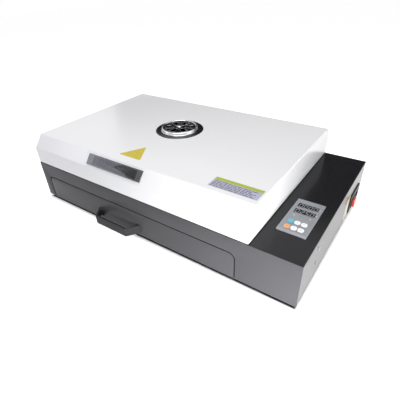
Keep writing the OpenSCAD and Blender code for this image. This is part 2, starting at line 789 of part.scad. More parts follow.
module drawer_gasket() color("#d8d4c8") along_y(gasket_y0, gasket_y0 + gasket_t) difference() {
    round_top(mouth_x0 - 7, face_z0 + 2.5, mouth_x1 - mouth_x0 + 14, drawer_top - 2.5 - face_z0 - 2.5, face_r - 2);
    round_top(mouth_x0 - 2, mouth_z0 - 2, mouth_x1 - mouth_x0 + 4, mouth_z1 - mouth_z0 + 3, 4);
}

module drawer_tray() color("#b9bbbe") difference() {
    block([tray_x0, gasket_y0, tray_z0], [tray_x1, tray_y1, tray_z0 + tray_h]);
    block([tray_x0 + liner_t, gasket_y0 + liner_t, tray_z0 + liner_t],
        [tray_x1 - liner_t, tray_y1 - liner_t, tray_z0 + tray_h + eps]);
    block([tray_x0 + 24, gasket_y0 + 24, tray_z0 - eps], [tray_x1 - 24, tray_y1 - 24, tray_z0 + tray_h]);
}

module board_rack() color("#c9cacc") {
    rack_x0 = tray_x0 + liner_t + 1;
    rack_x1 = tray_x1 - liner_t - 1;
    rack_y0 = gasket_y0 + liner_t + 2;
    rack_y1 = tray_y1 - liner_t - 2;
    pitch = (rack_x1 - rack_x0 - 2 * wire_d) / (wire_n - 1);
    for (i = [0:wire_n - 1]) translate([rack_x0 + wire_d + i * pitch, rack_y0, rack_z]) rotate([-90, 0, 0])
        cylinder(d = wire_d, h = rack_y1 - rack_y0, $fn = 24);
    for (y = [rack_y0 + 6, (rack_y0 + rack_y1) / 2, rack_y1 - 6])
        translate([rack_x0, y, rack_z - wire_d * 0.6]) rotate([0, 90, 0]) cylinder(d = wire_d, h = rack_x1 - rack_x0, $fn = 24);
    for (x = [rack_x0 + 12, rack_x1 - 12], y = [rack_y0 + 6, rack_y1 - 6])
        translate([x, y, tray_z0 + liner_t]) cylinder(d = wire_d * 1.5, h = rack_z - tray_z0 - liner_t, $fn = 24);
}

// one side of the handle strip seen from above: its round bend and its leg down to the face
handle_bend = 90 - atan2(handle_splay, handle_out);
handle_bend_r = handle_t + 3;
handle_bend_x = handle_l / 2 - handle_bend_r * tan(handle_bend / 2);
bend_steps = 8;
function handle_side(r) =
    let (arc = [for (i = [0:bend_steps]) let (a = i * handle_bend / bend_steps - 90)
            [handle_bend_x + r * cos(a), handle_bend_r - handle_out + r * sin(a)]],
        tip = arc[bend_steps], run = -tip[1] / sin(handle_bend))
    concat(arc, [[tip[0] + run * cos(handle_bend), 0]]);
function reversed(list) = [for (i = [len(list) - 1:-1:0]) list[i]];
function mirrored(list) = [for (p = list) [-p[0], p[1]]];

module handle() color("#55555a") difference() {
    outer = handle_side(handle_bend_r);
    inner = handle_side(handle_bend_r - handle_t);
    union() {
        translate([handle_x, 0, handle_z - handle_h / 2]) linear_extrude(handle_h)
            polygon(concat(outer, reversed(inner), mirrored(inner), reversed(mirrored(outer))));
        handle_screw_places() translate([-handle_tab / 2, -handle_h / 2, -handle_tab_t])
            cube([handle_tab, handle_h, handle_tab_t]);
    }
    handle_screw_places() translate([0, 0, -handle_tab_t - eps])
        cylinder(r = screw_r + screw_fit, h = handle_tab_t + 2 * eps);
}

module handle_screws() color("#8a8a8c")
    handle_screw_places() translate([0, 0, sheet_t]) screw(sheet_t + handle_tab_t);

// the three nested rails of one slide, as profiles: u away from the wall, v up
module outer_rail() {
    half = slide_h / 2;
    translate([0, -half]) square([rail_t, slide_h]);
    for (s = [-1, 1]) translate([0, s > 0 ? half - rail_t : -half]) square([8, rail_t]);
}
module middle_rail() {
    half = slide_h / 2 - rail_t - slide_fit;
    u = rail_t + slide_fit;
    translate([u, -half]) square([rail_t, 2 * half]);
    for (s = [-1, 1]) translate([u, s > 0 ? half - rail_t : -half]) square([8.8, rail_t]);
}
module inner_rail() {
    half = slide_h / 2 - 2 * (rail_t + slide_fit);
    u = 2 * (rail_t + slide_fit);
    translate([u, -half]) square([slide_t - u, 2 * half]);
}

module both_slides(x_wall) {
    for (s = [0, 1]) translate([2 * s * drawer_cx, 0, 0]) mirror([s, 0, 0])
        along_y(slide_y0, slide_y0 + slide_l) translate([x_wall, slide_z]) children();
}
module outer_slides() color("#8c8e92") both_slides(inner_x0) outer_rail();
module middle_slides() color("#a2a4a8") both_slides(inner_x0) middle_rail();
module inner_slides() color("#b4b6ba") both_slides(inner_x0) inner_rail();

// ---- controls ----

key_places = [for (r = [0, 1], c = [-1:1]) [strip_cx + c * key_pitch_x, key_rows[r]]];
standoffs = [for (sx = [-1, 1], y = [panel_cy - 6, panel_y + panel_l - 8])
    [strip_cx + sx * (panel_w / 2 - 8.5), y]];

module control_panel() color("#9b9da3") {
    difference() {
        along_x(panel_x0, panel_x0 + panel_w)
            polygon([[panel_y, z_deck], [panel_y + panel_bevel, z_deck + panel_t],
                [panel_y + panel_l - 1, z_deck + panel_t], [panel_y + panel_l, z_deck + panel_t - 1],
                [panel_y + panel_l, z_deck]]);
        for (y = display_y) block([strip_cx - display_w / 2, y - display_h / 2, z_deck - eps],
            [strip_cx + display_w / 2, y + display_h / 2, z_deck + panel_t + eps]);
        for (p = key_places) translate([p[0], p[1], z_deck - eps])
            round_plate(key_w + 2 * slip, key_l + 2 * slip, panel_t + 2 * eps, key_r);
    }
    for (p = standoffs) translate([p[0], p[1], board_z1]) cylinder(r = standoff_r, h = z_deck - board_z1);
}

module control_board() color("#1f6b3a") {
    block([panel_x0 + panel_rim + 0.5, panel_y + panel_rim + 0.5, board_z1 - board_t],
        [panel_x0 + panel_w - panel_rim - 0.5, panel_y + panel_l - panel_rim - 0.5, board_z1]);
    for (p = key_places) translate([p[0] - 3, p[1] - 3, board_z1]) cube([6, 6, switch_h]);
}

module displays() color("#17181a") for (y = display_y)
    block([strip_cx - display_w / 2 + display_fit, y - display_h / 2 + display_fit, board_z1],
        [strip_cx + display_w / 2 - display_fit, y + display_h / 2 - display_fit, display_top]);

module key(i) {
    lip_z = z_deck - slip - key_lip_t;
    stem_z = board_z1 + switch_h + key_travel + 0.1;
    translate([key_places[i][0], key_places[i][1], 0]) {
        translate([0, 0, lip_z]) round_plate(key_w, key_l, z_deck + panel_t + key_proud - lip_z, key_r);
        translate([-key_w / 2, -key_l / 2 - key_lip, lip_z]) cube([key_w, key_l + 2 * key_lip, key_lip_t]);
        translate([-stem_w / 2, -stem_w / 2, stem_z]) cube([stem_w, stem_w, lip_z - stem_z]);
    }
}
module key_1() color("#35c3ea") key(0);
module key_2() color("#f4f5f7") key(1);
module key_3() color("#f4f5f7") key(2);
module key_4() color("#f2a860") key(3);
module key_5() color("#f4f5f7") key(4);
module key_6() color("#f4f5f7") key(5);

// ---- power entry ----

module power_entry() color("#1d1d1f") difference() {
    union() {
        block([body_w, entry_y, entry_z], [body_w + entry_t, entry_y + entry_l, entry_z + entry_h]);
        block([body_w - entry_d, entry_y + entry_rim, entry_z + entry_rim],
            [body_w, entry_y + entry_l - entry_rim, entry_z + entry_h - entry_rim]);
        rocker_well(body_w + entry_t, body_w + entry_t + bezel_t, bezel_w);
    }
    rocker_well(body_w - rocker_well, body_w + entry_t + bezel_t + eps, 0);
    translate([body_w + entry_t - inlet_d, inlet_cy, entry_cz]) inlet_shape(inlet_d + eps);
    translate([rocker_pivot_x, rocker_cy, entry_cz])
        cylinder(r = rocker_pin_r + pin_fit, h = rocker_w + 2 * slip + 4, center = true);
}
module rocker_well(x0, x1, grow) {
    half_l = rocker_l / 2 * cos(rocker_tilt) + rocker_rise * sin(rocker_tilt) + slip + grow;
    half_w = rocker_w / 2 + slip + grow;
    block([x0, rocker_cy - half_l, entry_cz - half_w], [x1, rocker_cy + half_l, entry_cz + half_w]);
}

// the inlet's recess: a rectangle with two corners cut off, drawn out along +x
module inlet_shape(depth) {
    rotate([90, 0, 90]) linear_extrude(depth)
        polygon([[-inlet_w / 2, -inlet_h / 2], [inlet_w / 2, -inlet_h / 2], [inlet_w / 2, inlet_h / 2 - 6],
            [inlet_w / 2 - 6, inlet_h / 2], [6 - inlet_w / 2, inlet_h / 2], [-inlet_w / 2, inlet_h / 2 - 6]]);
}

module inlet_pins() color("#c8a24a") for (p = [[-11, -3], [0, 5], [11, -3]])
    translate([body_w + entry_t - inlet_d, inlet_cy + p[0] - 1, entry_cz + p[1] - 4]) cube([17, 2, 8]);

module rocker() color("#d02626") translate([rocker_pivot_x, rocker_cy, entry_cz]) rotate(rocker_tilt) {
    half = rocker_l / 2;
    linear_extrude(rocker_w, center = true)
        polygon([[rocker_rise, -half], [rocker_rise - 1.6, -4], [rocker_rise - 1.6, 4], [rocker_rise, half],
            [1, half - 0.6], [-5, 6], [-5, -6], [1, 0.6 - half]]);
    cylinder(r = rocker_pin_r, h = rocker_w + 2 * slip + 3, center = true);
}

// ---- electronics bay ----

module rear_fan_place() { translate([bay_cx, 0, fan_cz]) rotate([-90, 0, 0]) children(); }

module cooling_fan_frame() color("#242426") rear_fan_place() {
    difference() {
        translate([-fan_w / 2, -fan_w / 2, fan_y0]) cube([fan_w, fan_w, fan_d]);
        translate([0, 0, fan_y0 - eps]) cylinder(r = fan_bore_r, h = fan_d + 2 * eps);
    }
    for (a = [45:90:315]) rotate(a) translate([fan_hub_r - 3, -2, fan_y0]) cube([fan_bore_r - fan_hub_r + 4, 4, 3]);
    translate([0, 0, fan_y0]) cylinder(r = fan_hub_r, h = 3);
    translate([0, 0, fan_y0]) cylinder(r = fan_pin_r, h = fan_d - 8);
}

module cooling_fan_rotor() color("#303033") rear_fan_place() difference() {
    union() {
        translate([0, 0, fan_y0 + 4]) cylinder(r = fan_hub_r, h = fan_d - 7);
        intersection() {
            translate([0, 0, fan_y0 + 4]) cylinder(r = fan_blade_r, h = fan_d - 7);
            for (i = [0:6]) rotate(i * 360 / 7) translate([fan_hub_r - 2, 0, fan_y0 + fan_d / 2])
                rotate([38, 0, 0]) translate([0, -10, -0.8]) cube([fan_blade_r, 20, 1.6]);
        }
    }
    translate([0, 0, fan_y0]) cylinder(r = fan_pin_r + pin_fit, h = fan_d - 7.5);
}

module fan_guard() color("#b9bbbe") translate([bay_cx, body_d, fan_cz]) rotate([-90, 0, 0]) {
    for (r = [fan_bore_r - 0.5:-9:9]) rotate_extrude() translate([r - guard_wire_r, 0.6]) square([guard_t, guard_t - 0.6]);
    for (a = [45, 135]) rotate(a)
        translate([-fan_bore_r - 9, -guard_wire_r, 0]) cube([2 * fan_bore_r + 18, guard_t, guard_t - 0.4]);
}

heatsink_w = bay_w - 35;
heatsink_l = 66;
heatsink_y = body_d - 220;
fin_h = 22;
fin_n = 10;
relay_size = [bay_w - 55, 26, 22];
module heatsink() color("#b0b2b5") translate([bay_cx - heatsink_w / 2, heatsink_y, z_floor]) {
    translate([0, 0, fin_h]) cube([heatsink_w, heatsink_l, 5]);
    for (i = [0:fin_n - 1]) translate([i * (heatsink_w - 2) / (fin_n - 1), 0, 0]) cube([2, heatsink_l, fin_h]);
}
module relays() color("#e4e2da") for (y = [heatsink_y + 4, heatsink_y + heatsink_l - 4 - relay_size[1]])
    translate([bay_cx - relay_size[0] / 2, y, z_floor + fin_h + 5]) cube(relay_size);

supply_size = [bay_w - 23, 58, 34];
supply_strip = [supply_size[0] - 12, 8, 10];
module power_supply() color("#c2c4c6")
    translate([bay_cx - supply_size[0] / 2, panel_cy - 20, z_floor]) {
        cube(supply_size);
        translate([6, -supply_strip[1], 4]) cube(supply_strip);
    }

module terminal_block() color("#d9d6c8") translate([bay_x0 + 8, fan_y - 10, z_floor]) difference() {
    cube(terminal_size);
    for (i = [0:5]) translate([-eps, 5 + 12 * i, 8]) cube([terminal_size[0] + 2 * eps, 8, 12]);
}
terminal_size = [24, 78, 18];

// ---- labels ----

module labels() {
    color("#e3c53a") translate([triangle_x, triangle_y, z_top]) linear_extrude(label_t)
        polygon([[-triangle_w / 2, 0], [triangle_w / 2, 0], [0, triangle_h]]);
    color("#c5c6dc") translate([hood_w - info_label_edge - info_label[0], info_label_y, z_top])
        cube([info_label[0], info_label[1], label_t]);
    color("#e6e2b8") translate([body_w, side_label_y, side_label_z]) cube([label_t, side_label[0], side_label[1]]);
}

at_origin() base_pan();
at_origin() front_panel();
at_origin() left_panel();
at_origin() right_cover();
at_origin() rear_panel();
at_origin() deck_plate();
at_origin() hood();
at_origin() case_screws();
at_origin() feet();
at_origin() bulkhead();
at_origin() mouth_frame();
at_origin() chamber_floor();
at_origin() chamber_shell();
at_origin() chamber_roof();
at_origin() insulation();
at_origin() reflector();
at_origin() heater_brackets();
at_origin() heater_tubes();
at_origin() heater_caps();
at_origin() thermocouples();
at_origin() fan_baffle();
at_origin() impeller();
at_origin() fan_motor();
at_origin() exhaust_collar();
at_origin() vent_flange();
at_origin() vent_disc();
at_origin() vent_shutter();
at_origin() window_gasket();
at_origin() window_glass();
at_origin() window_tunnel();
at_origin() drawer_front();
at_origin() drawer_inner_plate();
at_origin() drawer_gasket();
at_origin() drawer_tray();
at_origin() board_rack();
at_origin() handle();
at_origin() handle_screws();
at_origin() outer_slides();
at_origin() middle_slides();
at_origin() inner_slides();
at_origin() control_panel();
at_origin() control_board();
at_origin() displays();
at_origin() key_1();
at_origin() key_2();
at_origin() key_3();
at_origin() key_4();
at_origin() key_5();
at_origin() key_6();
at_origin() cooling_fan_frame();
at_origin() cooling_fan_rotor();
at_origin() fan_guard();
at_origin() power_entry();
at_origin() inlet_pins();
at_origin() rocker();
at_origin() power_supply();
at_origin() heatsink();
at_origin() relays();
at_origin() terminal_block();
at_origin() labels();
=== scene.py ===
# Bench-top drawer reflow oven: white hood, dark sheet-metal case, drawer and control strip.
import math
import bpy
import bmesh
from mathutils import Euler, Matrix, Vector


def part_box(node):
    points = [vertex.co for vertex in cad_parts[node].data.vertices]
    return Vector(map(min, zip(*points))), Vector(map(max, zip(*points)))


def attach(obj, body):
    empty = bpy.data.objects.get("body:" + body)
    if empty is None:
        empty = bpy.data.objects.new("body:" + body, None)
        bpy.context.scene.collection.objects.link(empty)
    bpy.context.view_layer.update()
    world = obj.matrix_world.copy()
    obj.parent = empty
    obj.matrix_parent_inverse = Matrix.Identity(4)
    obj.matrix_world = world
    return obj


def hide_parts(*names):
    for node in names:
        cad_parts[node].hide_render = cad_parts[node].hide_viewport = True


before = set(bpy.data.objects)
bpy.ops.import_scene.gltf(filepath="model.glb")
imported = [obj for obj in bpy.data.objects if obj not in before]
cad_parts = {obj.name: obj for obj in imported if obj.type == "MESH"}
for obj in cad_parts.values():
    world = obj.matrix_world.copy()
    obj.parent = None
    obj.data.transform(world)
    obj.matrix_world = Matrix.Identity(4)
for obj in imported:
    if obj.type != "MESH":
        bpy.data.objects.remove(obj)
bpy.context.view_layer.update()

scene = bpy.context.scene
print("frame loaded:", len(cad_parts), "nodes")

# the part's origin, in millimetres right of and behind the case's front left corner
ovenPlace = {"shiftX": 364.117, "shiftY": 199.2}


def at(x, y, z):
    return Vector(((x - ovenPlace["shiftX"]) / 1000, (y - ovenPlace["shiftY"]) / 1000, z / 1000))


def mm(value):
    return value / 1000


def inMm(points):
    return [(mm(first), mm(second)) for first, second in points]


def deselectAll():
    if bpy.context.object and bpy.context.object.mode != "OBJECT":
        bpy.ops.object.mode_set(mode="OBJECT")
    bpy.ops.object.select_all(action="DESELECT")


def useOnly(obj):
    deselectAll()
    obj.select_set(True)
    bpy.context.view_layer.objects.active = obj


def named(name):
    obj = bpy.context.object
    obj.name = name
    obj.data.name = name
    return obj


def settle(obj):  # the piece's place goes into its mesh
    useOnly(obj)
    bpy.ops.object.transform_apply(location=True, rotation=True, scale=True)
    return obj


def addBlock(name, low, high):
    deselectAll()
    low, high = Vector(low), Vector(high)
    bpy.ops.mesh.primitive_cube_add(size=1, location=(low + high) / 2)
    obj = named(name)
    obj.scale = high - low
    return settle(obj)


def addRod(name, centre, radius, depth, axis="Z", vertices=48):
    deselectAll()
    turn = {"X": (0, math.pi / 2, 0), "Z": (0, 0, 0)}[axis]
    bpy.ops.mesh.primitive_cylinder_add(vertices=vertices, radius=radius, depth=depth, location=centre, rotation=turn)
    return settle(named(name))


def pick(obj, kind, test):  # selects the verts, edges or faces that pass the test, and stays in edit mode
    if bpy.context.object != obj or obj.mode != "EDIT":
        useOnly(obj)
        bpy.ops.object.mode_set(mode="EDIT")
    bpy.ops.mesh.select_mode(type=kind)
    bpy.ops.mesh.select_all(action="DESELECT")
    mesh = bmesh.from_edit_mesh(obj.data)
    mesh.normal_update()
    for item in {"VERT": mesh.verts, "EDGE": mesh.edges, "FACE": mesh.faces}[kind]:
        if test(item):
            item.select_set(True)
    mesh.select_flush_mode()
    bmesh.update_edit_mesh(obj.data)


def leaveEdit():
    bpy.ops.object.mode_set(mode="OBJECT")


def anyItem(item):
    return True


def facesUp(face):
    return face.normal.z > 0.9


def middle(edge):
    return (edge.verts[0].co + edge.verts[1].co) / 2


def along(edge, axis):
    line = (edge.verts[1].co - edge.verts[0].co).normalized()
    return abs(line.dot(Vector(axis))) > 0.99


def sharp(edge, degrees=20):
    return len(edge.link_faces) == 2 and edge.calc_face_angle(0) > math.radians(degrees)


def bevelPicked(width, segments, profile=0.5):
    bpy.ops.mesh.bevel(offset=mm(width), segments=segments, affect="EDGES", profile=profile)


def finishModifiers(obj):
    useOnly(obj)
    for name in [m.name for m in obj.modifiers]:
        bpy.ops.object.modifier_apply(modifier=name)
    return obj


def cutWith(obj, *cutters):
    for cutter in cutters:
        cut = obj.modifiers.new("cut", "BOOLEAN")
        cut.operation = "DIFFERENCE"
        cut.solver = "EXACT"
        cut.object = cutter
        finishModifiers(obj)
    for cutter in cutters:
        bpy.data.objects.remove(cutter, do_unlink=True)


def joinAll(name, obj, *others):
    useOnly(obj)
    for other in others:
        other.select_set(True)
    bpy.context.view_layer.objects.active = obj
    bpy.ops.object.join()
    obj.name = name


def copyOf(obj, name):
    twin = obj.copy()
    twin.data = obj.data.copy()
    twin.name = name
    twin.data.name = name
    bpy.context.collection.objects.link(twin)
    return twin


def paintWith(obj, *materials):
    obj.data.materials.clear()
    for material in materials:
        obj.data.materials.append(material)


def roundEdges(obj, width, segments=3, degrees=30):
    bevel = obj.modifiers.new("rounding", "BEVEL")
    bevel.width = mm(width)
    bevel.segments = segments
    bevel.limit_method = "ANGLE"
    bevel.angle_limit = math.radians(degrees)
    bevel.use_clamp_overlap = True
    bevel.harden_normals = False
    finishModifiers(obj)


def giveWall(obj, name, thickness, offset):
    wall = obj.modifiers.new(name, "SOLIDIFY")
    wall.thickness = mm(thickness)
    wall.offset = offset
    finishModifiers(obj)


def smooth(obj, degrees=35):
    useOnly(obj)
    bpy.ops.object.shade_smooth_by_angle(angle=math.radians(degrees))


def cleanShell(obj, merge=0.00001):
    pick(obj, "VERT", anyItem)
    bpy.ops.mesh.remove_doubles(threshold=merge)
    bpy.ops.mesh.select_all(action="SELECT")
    bpy.ops.mesh.normals_make_consistent(inside=False)
    leaveEdit()
    return obj


def turned(name, centre, profile, vertices=64, closed=True):  # a lathe form about z: radius, height pairs in mm
    deselectAll()
    centre = Vector(centre)
    profile = inMm(profile)
    radius, height = profile[0]
    bpy.ops.mesh.primitive_circle_add(vertices=vertices, radius=radius, location=centre + Vector((0, 0, height)))
    obj = settle(named(name))
    useOnly(obj)
    bpy.ops.object.mode_set(mode="EDIT")
    bpy.ops.mesh.select_mode(type="EDGE")
    bpy.ops.mesh.select_all(action="SELECT")
    ring = profile + [profile[0]] if closed else profile
    if not closed:
        bpy.ops.mesh.edge_face_add()
    for nextRadius, nextHeight in ring[1:]:
        bpy.ops.mesh.extrude_edges_move(TRANSFORM_OT_translate={"value": (0, 0, nextHeight - height)})
        grow = nextRadius / radius
        bpy.ops.transform.resize(value=(grow, grow, 1), center_override=centre)
        radius, height = nextRadius, nextHeight
    if not closed:
        bpy.ops.mesh.edge_face_add()
    leaveEdit()
    return cleanShell(obj)


def fillOutline(name, points):  # one flat face through the points, which are x, y, z in metres
    deselectAll()
    bpy.ops.mesh.primitive_circle_add(vertices=len(points), radius=0.01, fill_type="NGON", location=(0, 0, 0))
    obj = named(name)
    for vertex, point in zip(obj.data.vertices, points):
        vertex.co = point
    return obj


def drawUp(obj, height):
    pick(obj, "FACE", anyItem)
    bpy.ops.mesh.extrude_region_move(TRANSFORM_OT_translate={"value": (0, 0, height)})
    leaveEdit()
    return cleanShell(obj)


def prism(name, points, low, high):  # a flat outline in x, y drawn up from low to high, in millimetres
    low, high = mm(low), mm(high)
    return drawUp(fillOutline(name, [(x, y, low) for x, y in inMm(points)]), high - low)


def arcPoints(centreX, centreY, radius, startDegrees, steps, turn=90):
    points = []
    for step in range(steps + 1):
        angle = math.radians(startDegrees + turn * step / steps)
        points.append((centreX + radius * math.cos(angle), centreY + radius * math.sin(angle)))
    return points


def roundedPoints(width, length, radius, steps=6):  # a rectangle with round corners about the origin
    points = []
    for index, (sx, sy) in enumerate([(1, 1), (-1, 1), (-1, -1), (1, -1)]):
        points += arcPoints(sx * (width / 2 - radius), sy * (length / 2 - radius), radius, 90 * index, steps)
    return points


def move(obj, offset, turn=(0, 0, 0)):
    obj.location = offset
    obj.rotation_euler = turn
    return settle(obj)


def link(tree, source, target):
    tree.links.new(source, target)


def setSocket(tree, value, socket):
    if isinstance(value, (int, float)):
        socket.default_value = value
    else:
        link(tree, value, socket)


def socketKind(value):
    if isinstance(value, (int, float)):
        return "NodeSocketFloat"
    return "NodeSocketVector" if len(value) == 3 else "NodeSocketColor"


def newGroup(name, inputs):
    group = bpy.data.node_groups.new(name, "ShaderNodeTree")
    for label, value in inputs.items():
        socket = group.interface.new_socket(name=label, in_out="INPUT", socket_type=socketKind(value))
        socket.default_value = value
    for label, kind in (("Color", "NodeSocketColor"), ("Roughness", "NodeSocketFloat"), ("Height", "NodeSocketFloat")):
        group.interface.new_socket(name=label, in_out="OUTPUT", socket_type=kind)
    return group, group.nodes.new("NodeGroupInput").outputs, group.nodes.new("NodeGroupOutput").inputs


def mathNode(tree, operation, first, second):
    node = tree.nodes.new("ShaderNodeMath")
    node.operation = operation
    setSocket(tree, first, node.inputs[0])
    setSocket(tree, second, node.inputs[1])
    return node.outputs[0]


def swing(tree, value, spread, base):  # base plus twice the spread of a value that varies about nought
    return mathNode(tree, "ADD", mathNode(tree, "MULTIPLY", mathNode(tree, "MULTIPLY", value, spread), 2), base)


def noiseNode(tree, vector, scale, detail=3, rough=0.55):
    node = tree.nodes.new("ShaderNodeTexNoise")
    for label, value in (("Scale", scale), ("Detail", detail), ("Roughness", rough)):
        setSocket(tree, value, node.inputs[label])
    link(tree, vector, node.inputs["Vector"])
    return node.outputs["Fac"]


def objectPlace(tree):
    return tree.nodes.new("ShaderNodeTexCoord").outputs["Object"]


def mappedPlace(tree, label, value):
    mapping = tree.nodes.new("ShaderNodeMapping")
    mapping.inputs[label].default_value = value
    link(tree, objectPlace(tree), mapping.inputs["Vector"])
    return mapping.outputs["Vector"]


def scaledColor(tree, color, gain):
    node = tree.nodes.new("ShaderNodeVectorMath")
    node.operation = "SCALE"
    link(tree, color, node.inputs[0])
    link(tree, gain, node.inputs["Scale"])
    return node.outputs["Vector"]


def colorRamp(tree, factor, dark, light, start=0.0, end=1.0):
    ramp = tree.nodes.new("ShaderNodeValToRGB")
    for stop, color, position in zip(ramp.color_ramp.elements, (dark, light), (start, end)):
        stop.position = position
        stop.color = (*color, 1)
    link(tree, factor, ramp.inputs["Fac"])
    return ramp.outputs["Color"]


def addBump(tree, shader, height, strength, distance):
    bump = tree.nodes.new("ShaderNodeBump")
    bump.inputs["Strength"].default_value = strength
    bump.inputs["Distance"].default_value = distance
    link(tree, height, bump.inputs["Height"])
    link(tree, bump.outputs["Normal"], shader.inputs["Normal"])


def makePaintGroup():  # powder-coat skin: fine orange peel, a slow tone drift and rougher patches where hands wipe
    group, given, made = newGroup("powderCoat", {"Grain Scale": 900, "Tone Spread": 0.05, "Roughness": 0.4,
                                                 "Roughness Spread": 0.08, "Color": (0.5, 0.5, 0.5, 1)})
    place = objectPlace(group)
    peel = noiseNode(group, place, given["Grain Scale"], 2)
    drift = noiseNode(group, place, 7, 4)
    specks = noiseNode(group, place, 2600, 1)
    wide = mathNode(group, "SUBTRACT", drift, 0.5)
    fine = mathNode(group, "MULTIPLY", mathNode(group, "SUBTRACT", specks, 0.5), 0.6)
    gain = swing(group, mathNode(group, "ADD", wide, fine), given["Tone Spread"], 1)
    link(group, scaledColor(group, given["Color"], gain), made["Color"])
    link(group, swing(group, wide, given["Roughness Spread"], given["Roughness"]), made["Roughness"])
    link(group, peel, made["Height"])
    return group


def makeGrainGroup():  # rolled or brushed metal: lines along one direction and a cloudy sheen
    group, given, made = newGroup("metalGrain", {"Stretch": (1, 60, 60), "Line Scale": 30, "Roughness": 0.3,
                                                 "Roughness Spread": 0.12, "Tone Spread": 0.1,
                                                 "Color": (0.6, 0.6, 0.6, 1)})
    place = objectPlace(group)
    stretch = group.nodes.new("ShaderNodeVectorMath")
    stretch.operation = "MULTIPLY"
    link(group, place, stretch.inputs[0])
    link(group, given["Stretch"], stretch.inputs[1])
    lines = noiseNode(group, stretch.outputs["Vector"], given["Line Scale"], 3)
    cloud = noiseNode(group, place, 14, 4)
    both = mathNode(group, "ADD", mathNode(group, "MULTIPLY", lines, 0.6), mathNode(group, "MULTIPLY", cloud, 0.4))
    centred = mathNode(group, "SUBTRACT", both, 0.5)
    gain = swing(group, centred, given["Tone Spread"], 1)
    link(group, scaledColor(group, given["Color"], gain), made["Color"])
    link(group, swing(group, centred, given["Roughness Spread"], given["Roughness"]), made["Roughness"])
    link(group, lines, made["Height"])
    return group


def makeMouldGroup():  # moulded plastic, rubber and ceramic: pebbled skin with a little dust
    group, given, made = newGroup("mouldedSkin", {"Pebble Scale": 1600, "Roughness": 0.45, "Dust": 0.06,
                                                  "Dust Color": (0.4, 0.39, 0.37, 1), "Color": (0.1, 0.1, 0.1, 1)})
    place = objectPlace(group)
    pebble = group.nodes.new("ShaderNodeTexVoronoi")
    pebble.feature = "SMOOTH_F1"
    link(group, place, pebble.inputs["Vector"])
    link(group, given["Pebble Scale"], pebble.inputs["Scale"])
    cloud = mathNode(group, "SUBTRACT", noiseNode(group, place, 55, 5), 0.42)
    heaps = mathNode(group, "MAXIMUM", mathNode(group, "MULTIPLY", cloud, 4), 0)
    dust = mathNode(group, "MULTIPLY", heaps, given["Dust"])
    mix = group.nodes.new("ShaderNodeMix")
    mix.data_type = "RGBA"
    link(group, dust, mix.inputs["Factor"])
    link(group, given["Color"], mix.inputs["A"])
    link(group, given["Dust Color"], mix.inputs["B"])
    link(group, mix.outputs["Result"], made["Color"])
    link(group, mathNode(group, "ADD", mathNode(group, "MULTIPLY", dust, 1.5), given["Roughness"]), made["Roughness"])
    link(group, pebble.outputs["Distance"], made["Height"])
    return group


paintGroup = makePaintGroup()
grainGroup = makeGrainGroup()
mouldGroup = makeMouldGroup()


def startMaterial(name):
    material = bpy.data.materials.new(name)
    material.use_nodes = True
    tree = material.node_tree
    return material, tree, tree.nodes["Principled BSDF"]


def useGroup(material, tree, shader, group, values, strength, distance):
    node = tree.nodes.new("ShaderNodeGroup")
    node.node_tree = group
    for label, value in values.items():
        node.inputs[label].default_value = value
    link(tree, node.outputs["Color"], shader.inputs["Base Color"])
    link(tree, node.outputs["Roughness"], shader.inputs["Roughness"])
    addBump(tree, shader, node.outputs["Height"], strength, distance)
    material.diffuse_color = values["Color"]


def makePaint(name, color, roughness, grain, spread, patches=0.06, bump=0.1, coat=0.0, specular=0.5):
    material, tree, shader = startMaterial(name)
    values = {"Color": (*color, 1), "Roughness": roughness, "Grain Scale": grain, "Tone Spread": spread,
              "Roughness Spread": patches}
    useGroup(material, tree, shader, paintGroup, values, bump, 0.0004)
    shader.inputs["Specular IOR Level"].default_value = specular
    shader.inputs["Coat Weight"].default_value = coat
    shader.inputs["Coat Roughness"].default_value = 0.12
    return material


def makeMetal(name, color, roughness, stretch=(1, 1, 1), scale=30, patches=0.12, tones=0.1, bump=0.1):
    material, tree, shader = startMaterial(name)
    values = {"Color": (*color, 1), "Roughness": roughness, "Stretch": stretch, "Line Scale": scale,
              "Roughness Spread": patches, "Tone Spread": tones}
    useGroup(material, tree, shader, grainGroup, values, bump, 0.0002)
    shader.inputs["Metallic"].default_value = 1
    return material


def makeMoulded(name, color, roughness=0.45, pebble=1600, dust=0.05, bump=0.15):
    material, tree, shader = startMaterial(name)
    values = {"Color": (*color, 1), "Roughness": roughness, "Pebble Scale": pebble, "Dust": dust}
    useGroup(material, tree, shader, mouldGroup, values, bump, 0.0002)
    return material


paintColor = {"hood": (0.84, 0.84, 0.85), "front": (0.08, 0.08, 0.085), "side": (0.085, 0.085, 0.09),
              "strip": (0.011, 0.011, 0.013), "panel": (0.26, 0.27, 0.29), "handle": (0.06, 0.06, 0.065),
              "gapShade": (0.008, 0.008, 0.009)}
hoodWhite = makePaint("hoodWhite", paintColor["hood"], 0.3, 700, 0.006, patches=0.015, bump=0.04, coat=0.15)
caseFront = makePaint("caseFront", paintColor["front"], 0.27, 1100, 0.03, patches=0.01, specular=0.06)
handlePaint = makePaint("handlePaint", paintColor["handle"], 0.6, 1300, 0.04, patches=0.03, bump=0.08, specular=0.05)
# near-black finish for the faces inside the drawer's gap: painted shade
gapShadeBlack = makePaint("gapShadeBlack", paintColor["gapShade"], 0.6, 900, 0.1, specular=0.1)
caseSide = makePaint("caseSide", paintColor["side"], 0.36, 1100, 0.05, patches=0.04, bump=0.15)
stripPaint = makePaint("stripPaint", paintColor["strip"], 0.2, 1100, 0.012, patches=0.01, bump=0.012, specular=0.3)
panelGrey = makePaint("panelGrey", paintColor["panel"], 0.4, 2000, 0.03, bump=0.06)

